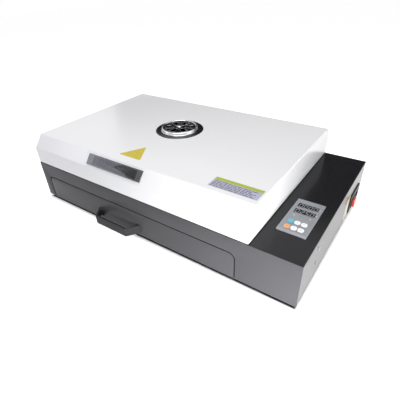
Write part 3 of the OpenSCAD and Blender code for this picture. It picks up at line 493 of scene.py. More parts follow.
zincSheet = makeMetal("zincSheet", (0.4, 0.405, 0.41), 0.46, scale=45, patches=0.2, tones=0.22)
linerSheet = makeMetal("linerSheet", (0.6, 0.6, 0.6), 0.36, stretch=(2, 60, 60), scale=20, patches=0.1, tones=0.06)
trayZinc = makeMetal("trayZinc", (0.27, 0.272, 0.276), 0.52, scale=40, patches=0.2, tones=0.22)
slideSteel = makeMetal("slideSteel", (0.56, 0.57, 0.59), 0.26, stretch=(60, 1, 60), scale=24)
chrome = makeMetal("chrome", (0.66, 0.66, 0.68), 0.07, scale=60, patches=0.05, tones=0.04, bump=0.02)
# a dark copy of chrome, for the vent's faces in painted shade
shadedChrome = makeMetal("shadedChrome", (0.085, 0.085, 0.09), 0.2, scale=60, patches=0.08, bump=0.03)
screwSteel = makeMetal("screwSteel", (0.5, 0.5, 0.51), 0.33, scale=300)
aluminium = makeMetal("aluminium", (0.72, 0.72, 0.74), 0.32, stretch=(60, 1, 60))
brass = makeMetal("brass", (0.74, 0.54, 0.26), 0.24, stretch=(1, 60, 60), scale=60)
heaterWire = makeMetal("heaterWire", (0.42, 0.36, 0.32), 0.4, scale=200)

blackPlastic = makeMoulded("blackPlastic", (0.018, 0.018, 0.02), 0.42, dust=0.04)
fanPlastic = makeMoulded("fanPlastic", (0.02, 0.02, 0.022), 0.5, pebble=1200, dust=0.1)
redPlastic = makeMoulded("redPlastic", (0.72, 0.035, 0.03), 0.22, pebble=2200, dust=0.015, bump=0.04)
rubberFoot = makeMoulded("rubberFoot", (0.022, 0.022, 0.022), 0.75, pebble=900, dust=0.22, bump=0.3)
paleSilicone = makeMoulded("paleSilicone", (0.72, 0.72, 0.73), 0.55, pebble=1500, dust=0.04)
ceramic = makeMoulded("ceramic", (0.82, 0.8, 0.73), 0.6, pebble=1400, dust=0.12, bump=0.2)
creamPlastic = makeMoulded("creamPlastic", (0.74, 0.72, 0.64))
keyCyan = makeMoulded("keyCyan", (0.09, 0.48, 0.62), 0.35, pebble=2600, dust=0.02, bump=0.05)
keyWhite = makeMoulded("keyWhite", (0.92, 0.93, 0.94), 0.35, pebble=2600, dust=0.02, bump=0.05)
keyOrange = makeMoulded("keyOrange", (0.78, 0.36, 0.14), 0.35, pebble=2600, dust=0.02, bump=0.05)
keyMark = makeMoulded("keyMark", (0.33, 0.35, 0.38), 0.5, pebble=2600, dust=0.0)
displayBlack = makeMoulded("displayBlack", (0.02, 0.021, 0.023), 0.12, pebble=3000, dust=0.02, bump=0.01)


def makeFibre():  # mineral-wool blanket: matted strands over lumps
    material, tree, shader = startMaterial("fibreBlanket")
    place = objectPlace(tree)
    strands = noiseNode(tree, place, 320, 6, 0.7)
    lumps = noiseNode(tree, place, 36, 3)
    color = colorRamp(tree, strands, (0.52, 0.49, 0.41), (0.86, 0.84, 0.77))
    link(tree, color, shader.inputs["Base Color"])
    addBump(tree, shader, mathNode(tree, "ADD", strands, lumps), 0.7, 0.002)
    shader.inputs["Roughness"].default_value = 0.95
    return material


def makeGasketCord():  # braided glass-fibre cord: crossing strands
    material, tree, shader = startMaterial("gasketBraid")
    plies = []
    for turn in (0.8, -0.8):
        wave = tree.nodes.new("ShaderNodeTexWave")
        wave.inputs["Scale"].default_value = 260
        wave.inputs["Distortion"].default_value = 1.2
        link(tree, mappedPlace(tree, "Rotation", (0, turn, 0)), wave.inputs["Vector"])
        plies.append(wave.outputs["Fac"])
    braid = mathNode(tree, "MAXIMUM", *plies)
    link(tree, colorRamp(tree, braid, (0.42, 0.4, 0.34), (0.78, 0.75, 0.67)), shader.inputs["Base Color"])
    addBump(tree, shader, braid, 0.8, 0.0008)
    shader.inputs["Roughness"].default_value = 0.9
    return material


def makeTintedGlass():  # smoked pane with faint wipe marks
    material, tree, shader = startMaterial("tintedGlass")
    wipe = noiseNode(tree, objectPlace(tree), 60, 4)
    rough = mathNode(tree, "ADD", mathNode(tree, "MULTIPLY", wipe, 0.006), 0.001)
    link(tree, rough, shader.inputs["Roughness"])
    link(tree, colorRamp(tree, wipe, (0.34, 0.35, 0.37), (0.38, 0.39, 0.41)), shader.inputs["Base Color"])
    shader.inputs["Transmission Weight"].default_value = 1
    shader.inputs["IOR"].default_value = 1.52
    return material


def makeQuartz():  # milky heater tube with drawn streaks
    material, tree, shader = startMaterial("quartzTube")
    streak = noiseNode(tree, mappedPlace(tree, "Scale", (4, 200, 200)), 6, 3)
    link(tree, colorRamp(tree, streak, (0.76, 0.74, 0.7), (0.93, 0.92, 0.89)), shader.inputs["Base Color"])
    rough = mathNode(tree, "ADD", mathNode(tree, "MULTIPLY", streak, 0.2), 0.12)
    link(tree, rough, shader.inputs["Roughness"])
    shader.inputs["Transmission Weight"].default_value = 0.6
    shader.inputs["IOR"].default_value = 1.46
    return material


def makeBoard():  # green laminate with lighter copper runs under the mask
    material, tree, shader = startMaterial("boardGreen")
    runs = tree.nodes.new("ShaderNodeTexBrick")
    runs.inputs["Scale"].default_value = 90
    runs.inputs["Mortar Size"].default_value = 0.07
    runs.inputs["Color1"].default_value = (0.02, 0.14, 0.06, 1)
    runs.inputs["Color2"].default_value = (0.03, 0.17, 0.08, 1)
    runs.inputs["Mortar"].default_value = (0.07, 0.27, 0.12, 1)
    link(tree, objectPlace(tree), runs.inputs["Vector"])
    link(tree, runs.outputs["Color"], shader.inputs["Base Color"])
    shader.inputs["Roughness"].default_value = 0.35
    return material


fibreBlanket = makeFibre()
gasketBraid = makeGasketCord()
tintedGlass = makeTintedGlass()
quartzTube = makeQuartz()
boardGreen = makeBoard()


def dress(node, material):  # a CAD node keeps its shape and gets a finish
    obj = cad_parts[node]
    if not obj.material_slots:
        obj.data.materials.append(material)
    for slot in obj.material_slots:
        slot.material = material


nodeFinish = {
    caseFront: ["front_panel"],
    caseSide: ["left_panel", "rear_panel", "base_pan"],
    stripPaint: ["right_cover", "deck_plate"],
    linerSheet: ["chamber_floor", "chamber_shell", "chamber_roof", "window_tunnel", "drawer_inner_plate"],
    aluminium: ["reflector", "heatsink", "power_supply"],
    slideSteel: ["outer_slides", "middle_slides", "inner_slides", "thermocouples"],
    zincSheet: ["heater_brackets", "impeller", "fan_motor", "bulkhead", "fan_baffle", "exhaust_collar", "mouth_frame"],
    trayZinc: ["drawer_tray", "board_rack"],
    screwSteel: ["handle_screws", "case_screws"],
    brass: ["inlet_pins"],
    fibreBlanket: ["insulation"],
    gasketBraid: ["drawer_gasket"],
    paleSilicone: ["window_gasket"],
    ceramic: ["heater_caps"],
    quartzTube: ["heater_tubes"],
    creamPlastic: ["relays", "terminal_block"],
    boardGreen: ["control_board"],
    fanPlastic: ["cooling_fan_frame"],
    rubberFoot: ["feet"],
}
for material, nodes in nodeFinish.items():
    for node in nodes:
        dress(node, material)
print("finishes on the carried-over pieces")


hoodSize = {"width": 620, "depth": 427, "low": 110.5, "skirtTop": 149, "top": 179, "frontRun": 25, "rearRun": 16,
            "sheet": 1.5, "edgeRadius": 2.4, "edgeSteps": 5, "ventX": 301, "ventY": 226, "ventHole": 42,
            "windowX": 283, "windowWide": 134, "windowTall": 20, "cutDepth": 6}
hoodRise = hoodSize["top"] - hoodSize["skirtTop"]
slopeTurn = (math.atan2(hoodRise, hoodSize["frontRun"]), 0, 0)
slopeMiddle = math.hypot(hoodRise, hoodSize["frontRun"]) / 2


def slopePlace(x, up, out):  # a place on the hood's front slope: x, then up the slope, then outwards
    angle = slopeTurn[0]
    y = up * math.cos(angle) - out * math.sin(angle)
    z = hoodSize["skirtTop"] + up * math.sin(angle) + out * math.cos(angle)
    return at(x, y, z)


def makeHood():
    h = hoodSize
    hood = addBlock("hoodShell", at(0, 0, h["low"]), at(h["width"], h["depth"], h["top"]))
    for place, normal in ((at(0, 0, h["skirtTop"]), (0, -hoodRise, h["frontRun"])),
                          (at(0, h["depth"], h["skirtTop"]), (0, hoodRise, h["rearRun"]))):
        pick(hood, "FACE", anyItem)
        bpy.ops.mesh.bisect(plane_co=place, plane_no=Vector(normal).normalized(), use_fill=True, clear_outer=True)
    pick(hood, "FACE", lambda f: f.normal.z < -0.9)
    bpy.ops.mesh.delete(type="FACE")
    pick(hood, "EDGE", sharp)
    bevelPicked(h["edgeRadius"], h["edgeSteps"])
    leaveEdit()
    giveWall(hood, "sheet", h["sheet"], -1)
    reach = Vector((mm(h["windowWide"] / 2), mm(h["windowTall"] / 2), mm(h["cutDepth"])))
    windowCut = addBlock("windowCut", -reach, reach)
    move(windowCut, slopePlace(h["windowX"], slopeMiddle, 0), slopeTurn)
    ventCut = addRod("ventCut", at(h["ventX"], h["ventY"], h["top"]), mm(h["ventHole"]), mm(20), vertices=96)
    cutWith(hood, windowCut, ventCut)
    paintWith(hood, hoodWhite)
    smooth(hood, 40)
    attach(hood, "cabinet")
    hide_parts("hood")


makeHood()
print("hood made")


# heights in the vent are above the roof, except discTop
ventSize = {"x": 301, "y": 226, "top": 179, "flange": 60.6, "throat": 40.3, "wall": 41.6, "underside": -10,
            "ledgeIn": 38.2, "ledgeOut": 40.4, "ledgeLow": 4.1, "ledgeHigh": 4.9, "highlightRing": 46.2,
            "discTop": 185, "discRadius": 39.9, "discThick": 0.96, "sectors": 6, "sectorIn": 13, "sectorOut": 35,
            "sectorTurn": 30, "lip": 0.2, "lipInside": 0.7, "lipHigh": 0.75,
            "shutterRadius": 37.4, "shutterThick": 0.76, "shutterSunk": 1.7, "shutterIn": 12, "shutterTurn": 32,
            "knob": 7.8, "knobLift": 0.3, "discCutLow": 175, "shutterCutLow": 170, "cutHigh": 190, "roundSteps": 112}


def ventPlace(z):
    return at(ventSize["x"], ventSize["y"], z)


def paintHighlightAbove(obj, z, below, above):  # two finishes, parted by the height of each face: the faces above get the bright one as a painted highlight
    paintWith(obj, below, above)
    for face in obj.data.polygons:
        face.material_index = 1 if face.center.z > mm(z) else 0


def makeVentRing():
    v = ventSize
    profile = [(v["throat"], v["underside"]), (v["throat"] + 0.02, 6.2), (40.7, 7.3), (41.5, 8.1), (42.7, 8.38),
               (43.9, 8.1), (44.7, 7.3), (45.05, 6.2), (45.1, 3), (45.4, 2.0), (46.2, 1.45), (50, 1.25), (58.6, 1.15),
               (v["flange"] - 0.4, 0.85), (v["flange"], 0.4), (v["flange"], 0.05),
               (42.2, 0.05), (v["wall"], -0.3), (v["wall"], v["underside"])]
    ring = turned("ventRing", ventPlace(v["top"]), profile, vertices=v["roundSteps"])
    profile = [(v["ledgeIn"], v["ledgeLow"]), (v["ledgeOut"], v["ledgeLow"]),
               (v["ledgeOut"], v["ledgeHigh"]), (v["ledgeIn"], v["ledgeHigh"])]
    ledge = turned("ventLedge", ventPlace(v["top"]), profile, vertices=v["roundSteps"])
    joinAll("ventRing", ring, ledge)
    paintWith(ring, chrome, shadedChrome)
    # the raised bead's top is bright chrome as a painted highlight; the throat and flange take the dark copy as painted
    # shade
    centre = ventPlace(0)
    for face in ring.data.polygons:
        reach = math.hypot(face.center.x - centre.x, face.center.y - centre.y)
        paintedHighlight = mm(v["throat"] + 0.3) <= reach <= mm(v["highlightRing"]) and face.center.z >= mm(v["top"] - 1)
        face.material_index = 0 if paintedHighlight else 1
    smooth(ring, 40)
    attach(ring, "cabinet")
    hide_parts("vent_flange")


def sectorPoints(inner, outer, wide, steps=8):  # a wedge between two arcs, centred on +x
    return arcPoints(0, 0, outer, -wide / 2, steps, wide) + arcPoints(0, 0, inner, wide / 2, steps, -wide)


def atSectors(makeOne):  # one piece at each of the vent's openings
    centre = ventPlace(0)
    step = 360 / ventSize["sectors"]
    return [move(makeOne(), (centre.x, centre.y, 0), (0, 0, math.radians(step / 2 + step * index)))
            for index in range(ventSize["sectors"])]


def makeVentDisc():
    v = ventSize
    disc = addRod("ventDisc", ventPlace(v["discTop"] - 0.5), mm(v["discRadius"]), mm(v["discThick"]),
                  vertices=v["roundSteps"])
    opening = sectorPoints(v["sectorIn"], v["sectorOut"], v["sectorTurn"])
    cutWith(disc, *atSectors(lambda: prism("sectorCut", opening, v["discCutLow"], v["cutHigh"])))
    roundEdges(disc, 0.3, 2, 40)

    def makeLip():  # an opening's turned-up rim
        outline = sectorPoints(v["sectorIn"] - v["lip"], v["sectorOut"] + v["lip"], v["sectorTurn"] + 0.6)
        lip = prism("ventLip", outline, v["discTop"] - 0.1, v["discTop"] + v["lipHigh"])
        inside = sectorPoints(v["sectorIn"] + v["lipInside"], v["sectorOut"] - v["lipInside"], v["sectorTurn"] - 2)
        cutWith(lip, prism("lipCut", inside, v["discCutLow"], v["cutHigh"]))
        roundEdges(lip, 0.25, 2, 40)
        return lip

    joinAll("ventDisc", disc, *atSectors(makeLip))
    # the turned-up lips' tops are a painted highlight, the disc below them painted shade
    paintHighlightAbove(disc, v["discTop"] + 0.05, shadedChrome, chrome)
    smooth(disc, 35)
    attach(disc, "cabinet")
    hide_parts("vent_disc")


def makeVentShutter():
    v = ventSize
    plate = addRod("ventShutter", ventPlace(v["discTop"] - v["shutterSunk"]), mm(v["shutterRadius"]),
                   mm(v["shutterThick"]), vertices=96)
    opening = sectorPoints(v["shutterIn"], 50, v["shutterTurn"])
    cutWith(plate, *atSectors(lambda: prism("shutterCut", opening, v["shutterCutLow"], v["cutHigh"])))
    top = v["discTop"] + v["knobLift"]
    wide = v["knob"]
    profile = [(2.4, -2.2), (2.4, 0.02), (wide - 0.3, 0.02), (wide, 0.3), (wide, 0.9), (wide - 0.5, 1.3),
               (5.4, 1.5), (4.6, 2.1), (4.2, 2.8), (3.4, 3.2), (1.6, 3.38)]
    knob = turned("shutterKnob", ventPlace(top), profile, closed=False)
    joinAll("ventShutter", plate, knob)
    # the knob's top is a painted highlight, the plate and knob foot painted shade
    paintHighlightAbove(plate, top + 1.4, shadedChrome, chrome)
    smooth(plate, 35)
    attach(plate, "shutter")
    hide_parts("vent_shutter")


makeVentRing()
makeVentDisc()
makeVentShutter()
print("vent made")


windowSize = {"x": 283, "wide": 164.6, "tall": 25.6, "thick": 2.9, "seat": 1.05, "corner": 1, "edge": 0.7}


def makeWindow():
    w = windowSize
    reach = Vector((mm(w["wide"] / 2), mm(w["tall"] / 2), 0))
    pane = addBlock("windowPane", -reach, reach + Vector((0, 0, mm(w["thick"]))))
    pick(pane, "EDGE", lambda e: along(e, (0, 0, 1)))
    bevelPicked(w["corner"], 4)
    leaveEdit()
    roundEdges(pane, w["edge"], 3, 50)
    paintWith(pane, tintedGlass)
    move(pane, slopePlace(w["x"], slopeMiddle, w["seat"]), slopeTurn)
    smooth(pane, 35)
    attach(pane, "cabinet")
    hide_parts("window_glass")


makeWindow()
print("window made")


handleSize = {"x": 280, "z": 28.5, "grip": 98, "out": 30, "splay": 20.5, "tall": 21, "thick": 4, "insideBend": 3,
              "tab": 12, "tabThick": 3, "legFoot": 2.2, "seat": 0.02, "edge": 1.1}


def makeHandle():  # the strip seen from above: grip bar, two round bends, two splayed legs and their tabs
    h = handleSize
    bend = math.radians(90) - math.atan2(h["splay"], h["out"])
    reach = h["thick"] + h["insideBend"]
    bendX = h["grip"] / 2 - reach * math.tan(bend / 2)

    def side(radius):
        points = arcPoints(bendX, reach - h["out"], radius, -90, 10, math.degrees(bend))
        run = -points[-1][1] / math.sin(bend)
        return points + [(points[-1][0] + run * math.cos(bend), -h["seat"])]

    outer, inner = side(reach), side(reach - h["thick"])
    tabEnd = outer[-1][0]
    tabFoot = tabEnd - h["tab"] - h["legFoot"]
    tabBack = -h["tabThick"]
    right = outer[:-1] + [(tabEnd, -h["seat"]), (tabFoot, -h["seat"]), (tabFoot, tabBack)]
    last, end = inner[-2], inner[-1]
    fraction = (tabBack - last[1]) / (end[1] - last[1])
    corner = (last[0] + fraction * (end[0] - last[0]), tabBack)
    half = right + [corner] + [p for p in inner[:-1] if p[1] < tabBack][::-1]
    outline = half + [(-x, y) for x, y in half[::-1]]
    bar = prism("pullHandle", outline, h["z"] - h["tall"] / 2, h["z"] + h["tall"] / 2)
    move(bar, at(h["x"], 0, 0))
    roundEdges(bar, h["edge"], 4, 50)
    paintWith(bar, handlePaint)
    smooth(bar, 40)
    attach(bar, "drawer")
    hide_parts("handle")


makeHandle()
print("handle made")


panelSize = {"x": 670, "wide": 57, "front": 68, "long": 114, "deck": 108, "thick": 3.5, "frontBevel": 2.6,
             "sideBevel": 0.7, "holeEdge": 0.22, "cutLow": 100, "cutHigh": 120,
             "displayWide": 42, "displayTall": 15, "displayY": (161, 139.6), "displayLow": 97.5, "displayGap": 0.2,
             "keyWide": 11.5, "keyLong": 11, "keyRound": 4.5, "keyRows": (101.3, 83.3), "keyPitch": 13.2,
             "keyGap": 0.6, "keyProud": 1.2, "keySunk": 1.3, "keyCrown": 0.45, "lipReach": 0.9, "lipThick": 1,
             "stemHalf": 2, "stemLow": 102.5, "crownSteps": ((0.35, 0.22), (0.7, 0.13), (1.4, 0.06)),
             "signLow": 0.06, "signHigh": 0.005,
             "postX": 20, "postY": (119, 174), "postZ": 102.8, "postRadius": 3, "postLong": 10.4,
             "marks": ((655, 122.5, 1.1), (686.5, 123.5, 1.1), (694, 161, 1), (694, 139.6, 1))}
panelTop = panelSize["deck"] + panelSize["thick"]


def panelPlace(x, y):
    spot = at(x, y, 0)
    return spot.x, spot.y, 0


def makeControlPanel():
    p = panelSize
    low = at(p["x"] - p["wide"] / 2, p["front"], p["deck"])
    high = at(p["x"] + p["wide"] / 2, p["front"] + p["long"], panelTop)
    panel = addBlock("controlPanel", low, high)

    def onTop(edge):
        return middle(edge).z > high.z - 0.0001

    pick(panel, "EDGE", lambda e: along(e, (1, 0, 0)) and onTop(e) and middle(e).y < low.y + 0.0001)
    bevelPicked(p["frontBevel"], 1)
    pick(panel, "EDGE", lambda e: along(e, (0, 0, 1)) or (along(e, (0, 1, 0)) and onTop(e)))
    bevelPicked(p["sideBevel"], 3)
    leaveEdit()
    cutters = []
    for y in p["displayY"]:
        outline = roundedPoints(p["displayWide"], p["displayTall"], 1, 4)
        cutters.append(move(prism("displayCut", outline, p["cutLow"], p["cutHigh"]), panelPlace(p["x"], y)))
    for y in p["keyRows"]:
        for column in (-1, 0, 1):
            outline = roundedPoints(p["keyWide"] + p["keyGap"], p["keyLong"] + p["keyGap"], p["keyRound"], 5)
            cutter = prism("keyCut", outline, p["cutLow"], p["cutHigh"])
            cutters.append(move(cutter, panelPlace(p["x"] + column * p["keyPitch"], y)))
    cutWith(panel, *cutters)
    roundEdges(panel, p["holeEdge"], 2, 35)
    posts = [addRod("post", at(p["x"] + side * p["postX"], y, p["postZ"]), mm(p["postRadius"]), mm(p["postLong"]),
                    vertices=24) for side in (-1, 1) for y in p["postY"]]
    joinAll("controlPanel", panel, *posts)
    paintWith(panel, panelGrey)
    marks = []
    for x, y, radius in p["marks"]:  # printed dots: two lamps, and one beside each display
        spot = addRod("mark", at(x, y, panelTop + 0.02), mm(radius), mm(0.08), vertices=24)
        paintWith(spot, keyWhite)
        marks.append(spot)
    joinAll("controlPanel", panel, *marks)
    smooth(panel, 35)
    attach(panel, "cabinet")
    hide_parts("control_panel")


# bars of each digit that is shown, by the letters in barSpots
digitBars = {"0": "abcdef", "2": "abged", "5": "afgcd"}
digitSize = {"pitch": 9.8, "tall": 10.4, "wide": 5.8, "bar": 1.15, "barThick": 0.1, "sunk": 0.5, "lean": 6,
             "shear": 0.1, "dot": 0.5, "dotOut": 1.5, "coverRound": 0.9, "frame": 0.8, "frameDeep": 0.25,
             "tallShare": 0.95, "wideShare": 0.92, "barDown": 0.32, "dotDown": 0.28, "litDown": 0.27,
             "biggestBar": 0.00004}


def addSegment(x, y, z, long, upright):  # one bar of a seven-bar number
    d = digitSize
    shape = [(0.5, 0), (0.36, 0.5), (-0.36, 0.5), (-0.5, 0), (-0.36, -0.5), (0.36, -0.5)]
    bar = fillOutline("bar", [(mm(u * long), mm(v * d["bar"]), 0) for u, v in shape])
    return move(drawUp(bar, mm(d["barThick"])), at(x, y, z), (0, 0, math.radians(90 - d["lean"] if upright else 0)))


def makeDisplay(name, y, text):
    p, d = panelSize, digitSize
    top = panelTop - d["sunk"]
    halfWide, halfTall = p["displayWide"] / 2 - p["displayGap"], p["displayTall"] / 2 - p["displayGap"]
    cover = addBlock(name, at(p["x"] - halfWide, y - halfTall, p["displayLow"]),
                     at(p["x"] + halfWide, y + halfTall, top - 0.1))
    pick(cover, "EDGE", lambda e: along(e, (0, 0, 1)))
    bevelPicked(d["coverRound"], 3)
    pick(cover, "FACE", facesUp)
    bpy.ops.mesh.inset(thickness=mm(d["frame"]))
    bpy.ops.transform.translate(value=(0, 0, -mm(d["frameDeep"])))
    leaveEdit()
    bars = []
    side, half, quarter = d["wide"] / 2, d["tall"] / 2, d["tall"] / 4
    barSpots = {"a": (0, half, False), "g": (0, 0, False), "d": (0, -half, False), "b": (side, quarter, True),
                "c": (side, -quarter, True), "f": (-side, quarter, True), "e": (-side, -quarter, True)}
    for index, letter in enumerate(text):
        middleX = p["x"] + (index - 1.5) * d["pitch"]
        for spot in digitBars[letter]:
            dx, dy, upright = barSpots[spot]
            long = half * d["tallShare"] if upright else d["wide"] * d["wideShare"]
            bars.append(addSegment(middleX + dx + dy * d["shear"], y + dy, top - d["barDown"], long, upright))
        dotPlace = at(middleX + side + d["dotOut"], y - half, top - d["dotDown"])
        bars.append(addRod("dot", dotPlace, mm(d["dot"]), mm(d["barThick"]), vertices=12))
    joinAll(name, cover, *bars)
    paintWith(cover, displayBlack, digitLight)
    for face in cover.data.polygons:
        onBar = face.center.z > mm(top - d["litDown"]) and face.normal.z > 0.5
        small = face.area < d["biggestBar"] and len(face.vertices) in (6, 12)
        face.material_index = 1 if onBar and small else 0
    return cover


def makeDigitLight():  # lit bars seen through the smoked window, slightly uneven
    material, tree, shader = startMaterial("digitLight")
    uneven = colorRamp(tree, noiseNode(tree, objectPlace(tree), 400, 2), (0.2, 0.22, 0.23), (0.32, 0.34, 0.35))
    link(tree, uneven, shader.inputs["Base Color"])
    link(tree, uneven, shader.inputs["Emission Color"])
    shader.inputs["Emission Strength"].default_value = 0.25
    shader.inputs["Roughness"].default_value = 0.3
    return material


digitLight = makeDigitLight()
upperDisplay = makeDisplay("upperDisplay", panelSize["displayY"][0], "0000")
lowerDisplay = makeDisplay("lowerDisplay", panelSize["displayY"][1], "0250")
joinAll("upperDisplay", upperDisplay, lowerDisplay)
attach(upperDisplay, "cabinet")
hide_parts("displays")

# plain printed signs on the key tops, as outlines in millimetres
signShape = {"up": [(-1.6, -1), (1.6, -1), (0, 1.6)], "down": [(-1.6, 1), (0, -1.6), (1.6, 1)],
             "left": [(-1.5, 0), (1, -1.6), (1, 1.6)], "right": [(1.5, 0), (-1, 1.6), (-1, -1.6)],
             "bar": [(-1.8, -0.45), (1.8, -0.45), (1.8, 0.45), (-1.8, 0.45)],
             "square": [(-1.2, -1.2), (1.2, -1.2), (1.2, 1.2), (-1.2, 1.2)]}


def makeKeyCap(index, material, mark):
    p = panelSize
    name = "keyCap%d" % (index + 1)
    row, column = divmod(index, 3)
    low, high = p["deck"] - p["keySunk"], panelTop + p["keyProud"]
    cap = prism(name, roundedPoints(p["keyWide"], p["keyLong"], p["keyRound"], 6), low, high - p["keyCrown"])
    pick(cap, "FACE", facesUp)
    for inset, lift in p["crownSteps"]:
        bpy.ops.mesh.inset(thickness=mm(inset))
        bpy.ops.transform.translate(value=(0, 0, mm(lift)))
    leaveEdit()
    halfWide, halfLong, halfStem = mm(p["keyWide"] / 2), mm(p["keyLong"] / 2 + p["lipReach"]), mm(p["stemHalf"])
    lip = addBlock("lip", (-halfWide, -halfLong, mm(low)), (halfWide, halfLong, mm(low + p["lipThick"])))
    stem = addBlock("stem", (-halfStem, -halfStem, mm(p["stemLow"])), (halfStem, halfStem, mm(low)))
    sign = prism("sign", signShape[mark], high - p["signLow"], high - p["signHigh"])
    for part, finish in ((cap, material), (lip, material), (stem, material), (sign, keyMark)):
        paintWith(part, finish)
    joinAll(name, cap, lip, stem, sign)
    move(cap, panelPlace(p["x"] + (column - 1) * p["keyPitch"], p["keyRows"][row]))
    smooth(cap, 35)
    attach(cap, "key_%d_cap" % (index + 1))
    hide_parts("key_%d" % (index + 1))
    return cap


makeControlPanel()
keyLook = [(keyCyan, "bar", "key_cyan"), (keyWhite, "up", "key_white"), (keyWhite, "right", "key_white"),
           (keyOrange, "square", "key_orange"), (keyWhite, "down", "key_white"), (keyWhite, "left", "key_white")]
for index, (material, mark, slotName) in enumerate(keyLook):
    makeKeyCap(index, material, mark)
print("control panel made")


entrySize = {"caseX": 720, "front": 320, "long": 78, "low": 16, "tall": 46, "thick": 2.5, "rim": 3, "deep": 28,
             "plateEdge": 0.8, "inletY": 377, "rockerY": 344, "middleZ": 39, "wellDeep": 14, "inletDeep": 22,
             "inletWide": 34, "inletTall": 24, "inletCorner": 6, "bezelThick": 2, "bezelWide": 2, "bezelEdge": 0.7,
             "fuseDown": 17.2, "fuseWide": 29, "fuseTall": 6, "fuseGap": 0.5, "pullWide": 7, "pullTall": 1.2,
             "rockerLong": 22, "rockerWide": 20, "rise": 7, "dish": 1.55, "dishRise": 1.425, "faceInset": 0.35,
             "rockerEdge": 0.6, "pin": 1.5, "pinReach": 1.8, "tilt": 12, "pivotX": 720.5, "slip": 0.3}


def inletPoints(wide, tall, cut):  # y, z of the inlet's opening, two upper corners cut off
    return [(-wide / 2, -tall / 2), (wide / 2, -tall / 2), (wide / 2, tall / 2 - cut), (wide / 2 - cut, tall / 2),
            (cut - wide / 2, tall / 2), (-wide / 2, tall / 2 - cut)]


def sidePrism(name, points, startX, endX, y, z):  # a y, z outline drawn out along x
    turn = Matrix(((0, 0, 1), (1, 0, 0), (0, 1, 0))).to_euler()
    return move(prism(name, points, 0, endX - startX), at(startX, y, z), turn)


def makePowerEntry():
    e = entrySize
    face = e["caseX"] + e["thick"]
    entry = sidePrism("powerEntry", roundedPoints(e["long"], e["tall"], 3, 5), e["caseX"] + 0.05, face,
                      e["front"] + e["long"] / 2, e["low"] + e["tall"] / 2)
    roundEdges(entry, e["plateEdge"], 3, 50)
    body = addBlock("entryBody", at(e["caseX"] - e["deep"], e["front"] + e["rim"], e["low"] + e["rim"]),
                    at(e["caseX"] + 0.3, e["front"] + e["long"] - e["rim"], e["low"] + e["tall"] - e["rim"]))
    tilt = math.radians(e["tilt"])
    halfLong = e["rockerLong"] / 2 * math.cos(tilt) + e["rise"] * math.sin(tilt) + e["slip"]
    halfWide = e["rockerWide"] / 2 + e["slip"]
    outline = roundedPoints(2 * (halfLong + e["bezelWide"]), 2 * (halfWide + e["bezelWide"]), 2, 5)
    bezel = sidePrism("rockerBezel", outline, face - 0.2, face + e["bezelThick"], e["rockerY"], e["middleZ"])
    roundEdges(bezel, e["bezelEdge"], 3, 50)
    joinAll("powerEntry", entry, body, bezel)
    well = [(-halfLong, -halfWide), (halfLong, -halfWide), (halfLong, halfWide), (-halfLong, halfWide)]
    wellCut = sidePrism("wellCut", well, e["caseX"] - e["wellDeep"], face + 8, e["rockerY"], e["middleZ"])
    inlet = inletPoints(e["inletWide"], e["inletTall"], e["inletCorner"])
    inletCut = sidePrism("inletCut", inlet, face - e["inletDeep"], face + 8, e["inletY"], e["middleZ"])
    skin = entry.modifiers.new("joined", "BOOLEAN")  # the overlapping blocks become one skin
    skin.operation = "UNION"
    skin.solver = "EXACT"
    skin.use_self = True
    blank = addBlock("blank", at(e["caseX"] - 20, e["front"] + 30, e["low"] + 5),
                     at(e["caseX"] - 19, e["front"] + 31, e["low"] + 6))  # the tool needs a second block, inside
    skin.object = blank
    finishModifiers(entry)
    bpy.data.objects.remove(blank, do_unlink=True)
    cutWith(entry, wellCut, inletCut)
    fusePlace = (e["inletY"], e["middleZ"] - e["fuseDown"])
    outline = roundedPoints(e["fuseWide"] + 2 * e["fuseGap"], e["fuseTall"] + 2 * e["fuseGap"], 1, 3)
    cutWith(entry, sidePrism("fuseLine", outline, face - 0.35, face + 1, *fusePlace))
    outline = roundedPoints(e["fuseWide"], e["fuseTall"], 0.8, 3)
    fuse = sidePrism("fuseDoor", outline, face - 0.6, face - 0.05, *fusePlace)
    roundEdges(fuse, 0.2, 2, 50)
    outline = roundedPoints(e["pullWide"], e["pullTall"], 0.5, 3)
    pull = sidePrism("fusePull", outline, face - 0.3, face + 0.35, *fusePlace)
    joinAll("powerEntry", entry, fuse, pull)
    paintWith(entry, blackPlastic)
    smooth(entry, 35)
    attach(entry, "cabinet")
    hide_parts("power_entry")


def makeRocker():
    e = entrySize
    half, rise = e["rockerLong"] / 2, e["rise"]
    dish = []
    for step in range(13):  # the hollow pressing face, from end to end
        v = -half + e["faceInset"] + 2 * (half - e["faceInset"]) * step / 12
        dish.append((rise - e["dish"] + e["dishRise"] * (v / half) ** 2, v))
    outline = dish + [(rise - 0.9, half), (1, half - 0.6), (-5, 6), (-5, -6), (1, 0.6 - half), (rise - 0.9, -half)]
    cap = prism("powerRocker", outline, -e["rockerWide"] / 2, e["rockerWide"] / 2)
    roundEdges(cap, e["rockerEdge"], 3, 40)
    pin = addRod("rockerPin", (0, 0, 0), mm(e["pin"]), mm(e["rockerWide"] + 2 * e["pinReach"]), vertices=32)
    onBar = addBlock("onBar", (mm(rise - 1.2), mm(5.2), -mm(3)), (mm(rise - 0.75), mm(6.2), mm(3)))
    offRing = turned("offRing", (0, 0, 0), [(2.0, 0), (2.8, 0), (2.8, 0.4), (2.0, 0.4)], vertices=32)
    move(offRing, (mm(rise - 1.1), mm(-5.8), 0), (0, math.radians(90), 0))
    for part, finish in ((cap, redPlastic), (pin, redPlastic), (onBar, keyWhite), (offRing, keyWhite)):
        paintWith(part, finish)
    joinAll("powerRocker", cap, pin, onBar, offRing)
    move(cap, at(e["pivotX"], e["rockerY"], e["middleZ"]), (0, 0, math.radians(e["tilt"])))
    smooth(cap, 35)
    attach(cap, "power_rocker")
    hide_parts("rocker")


makePowerEntry()
makeRocker()
print("power entry made")


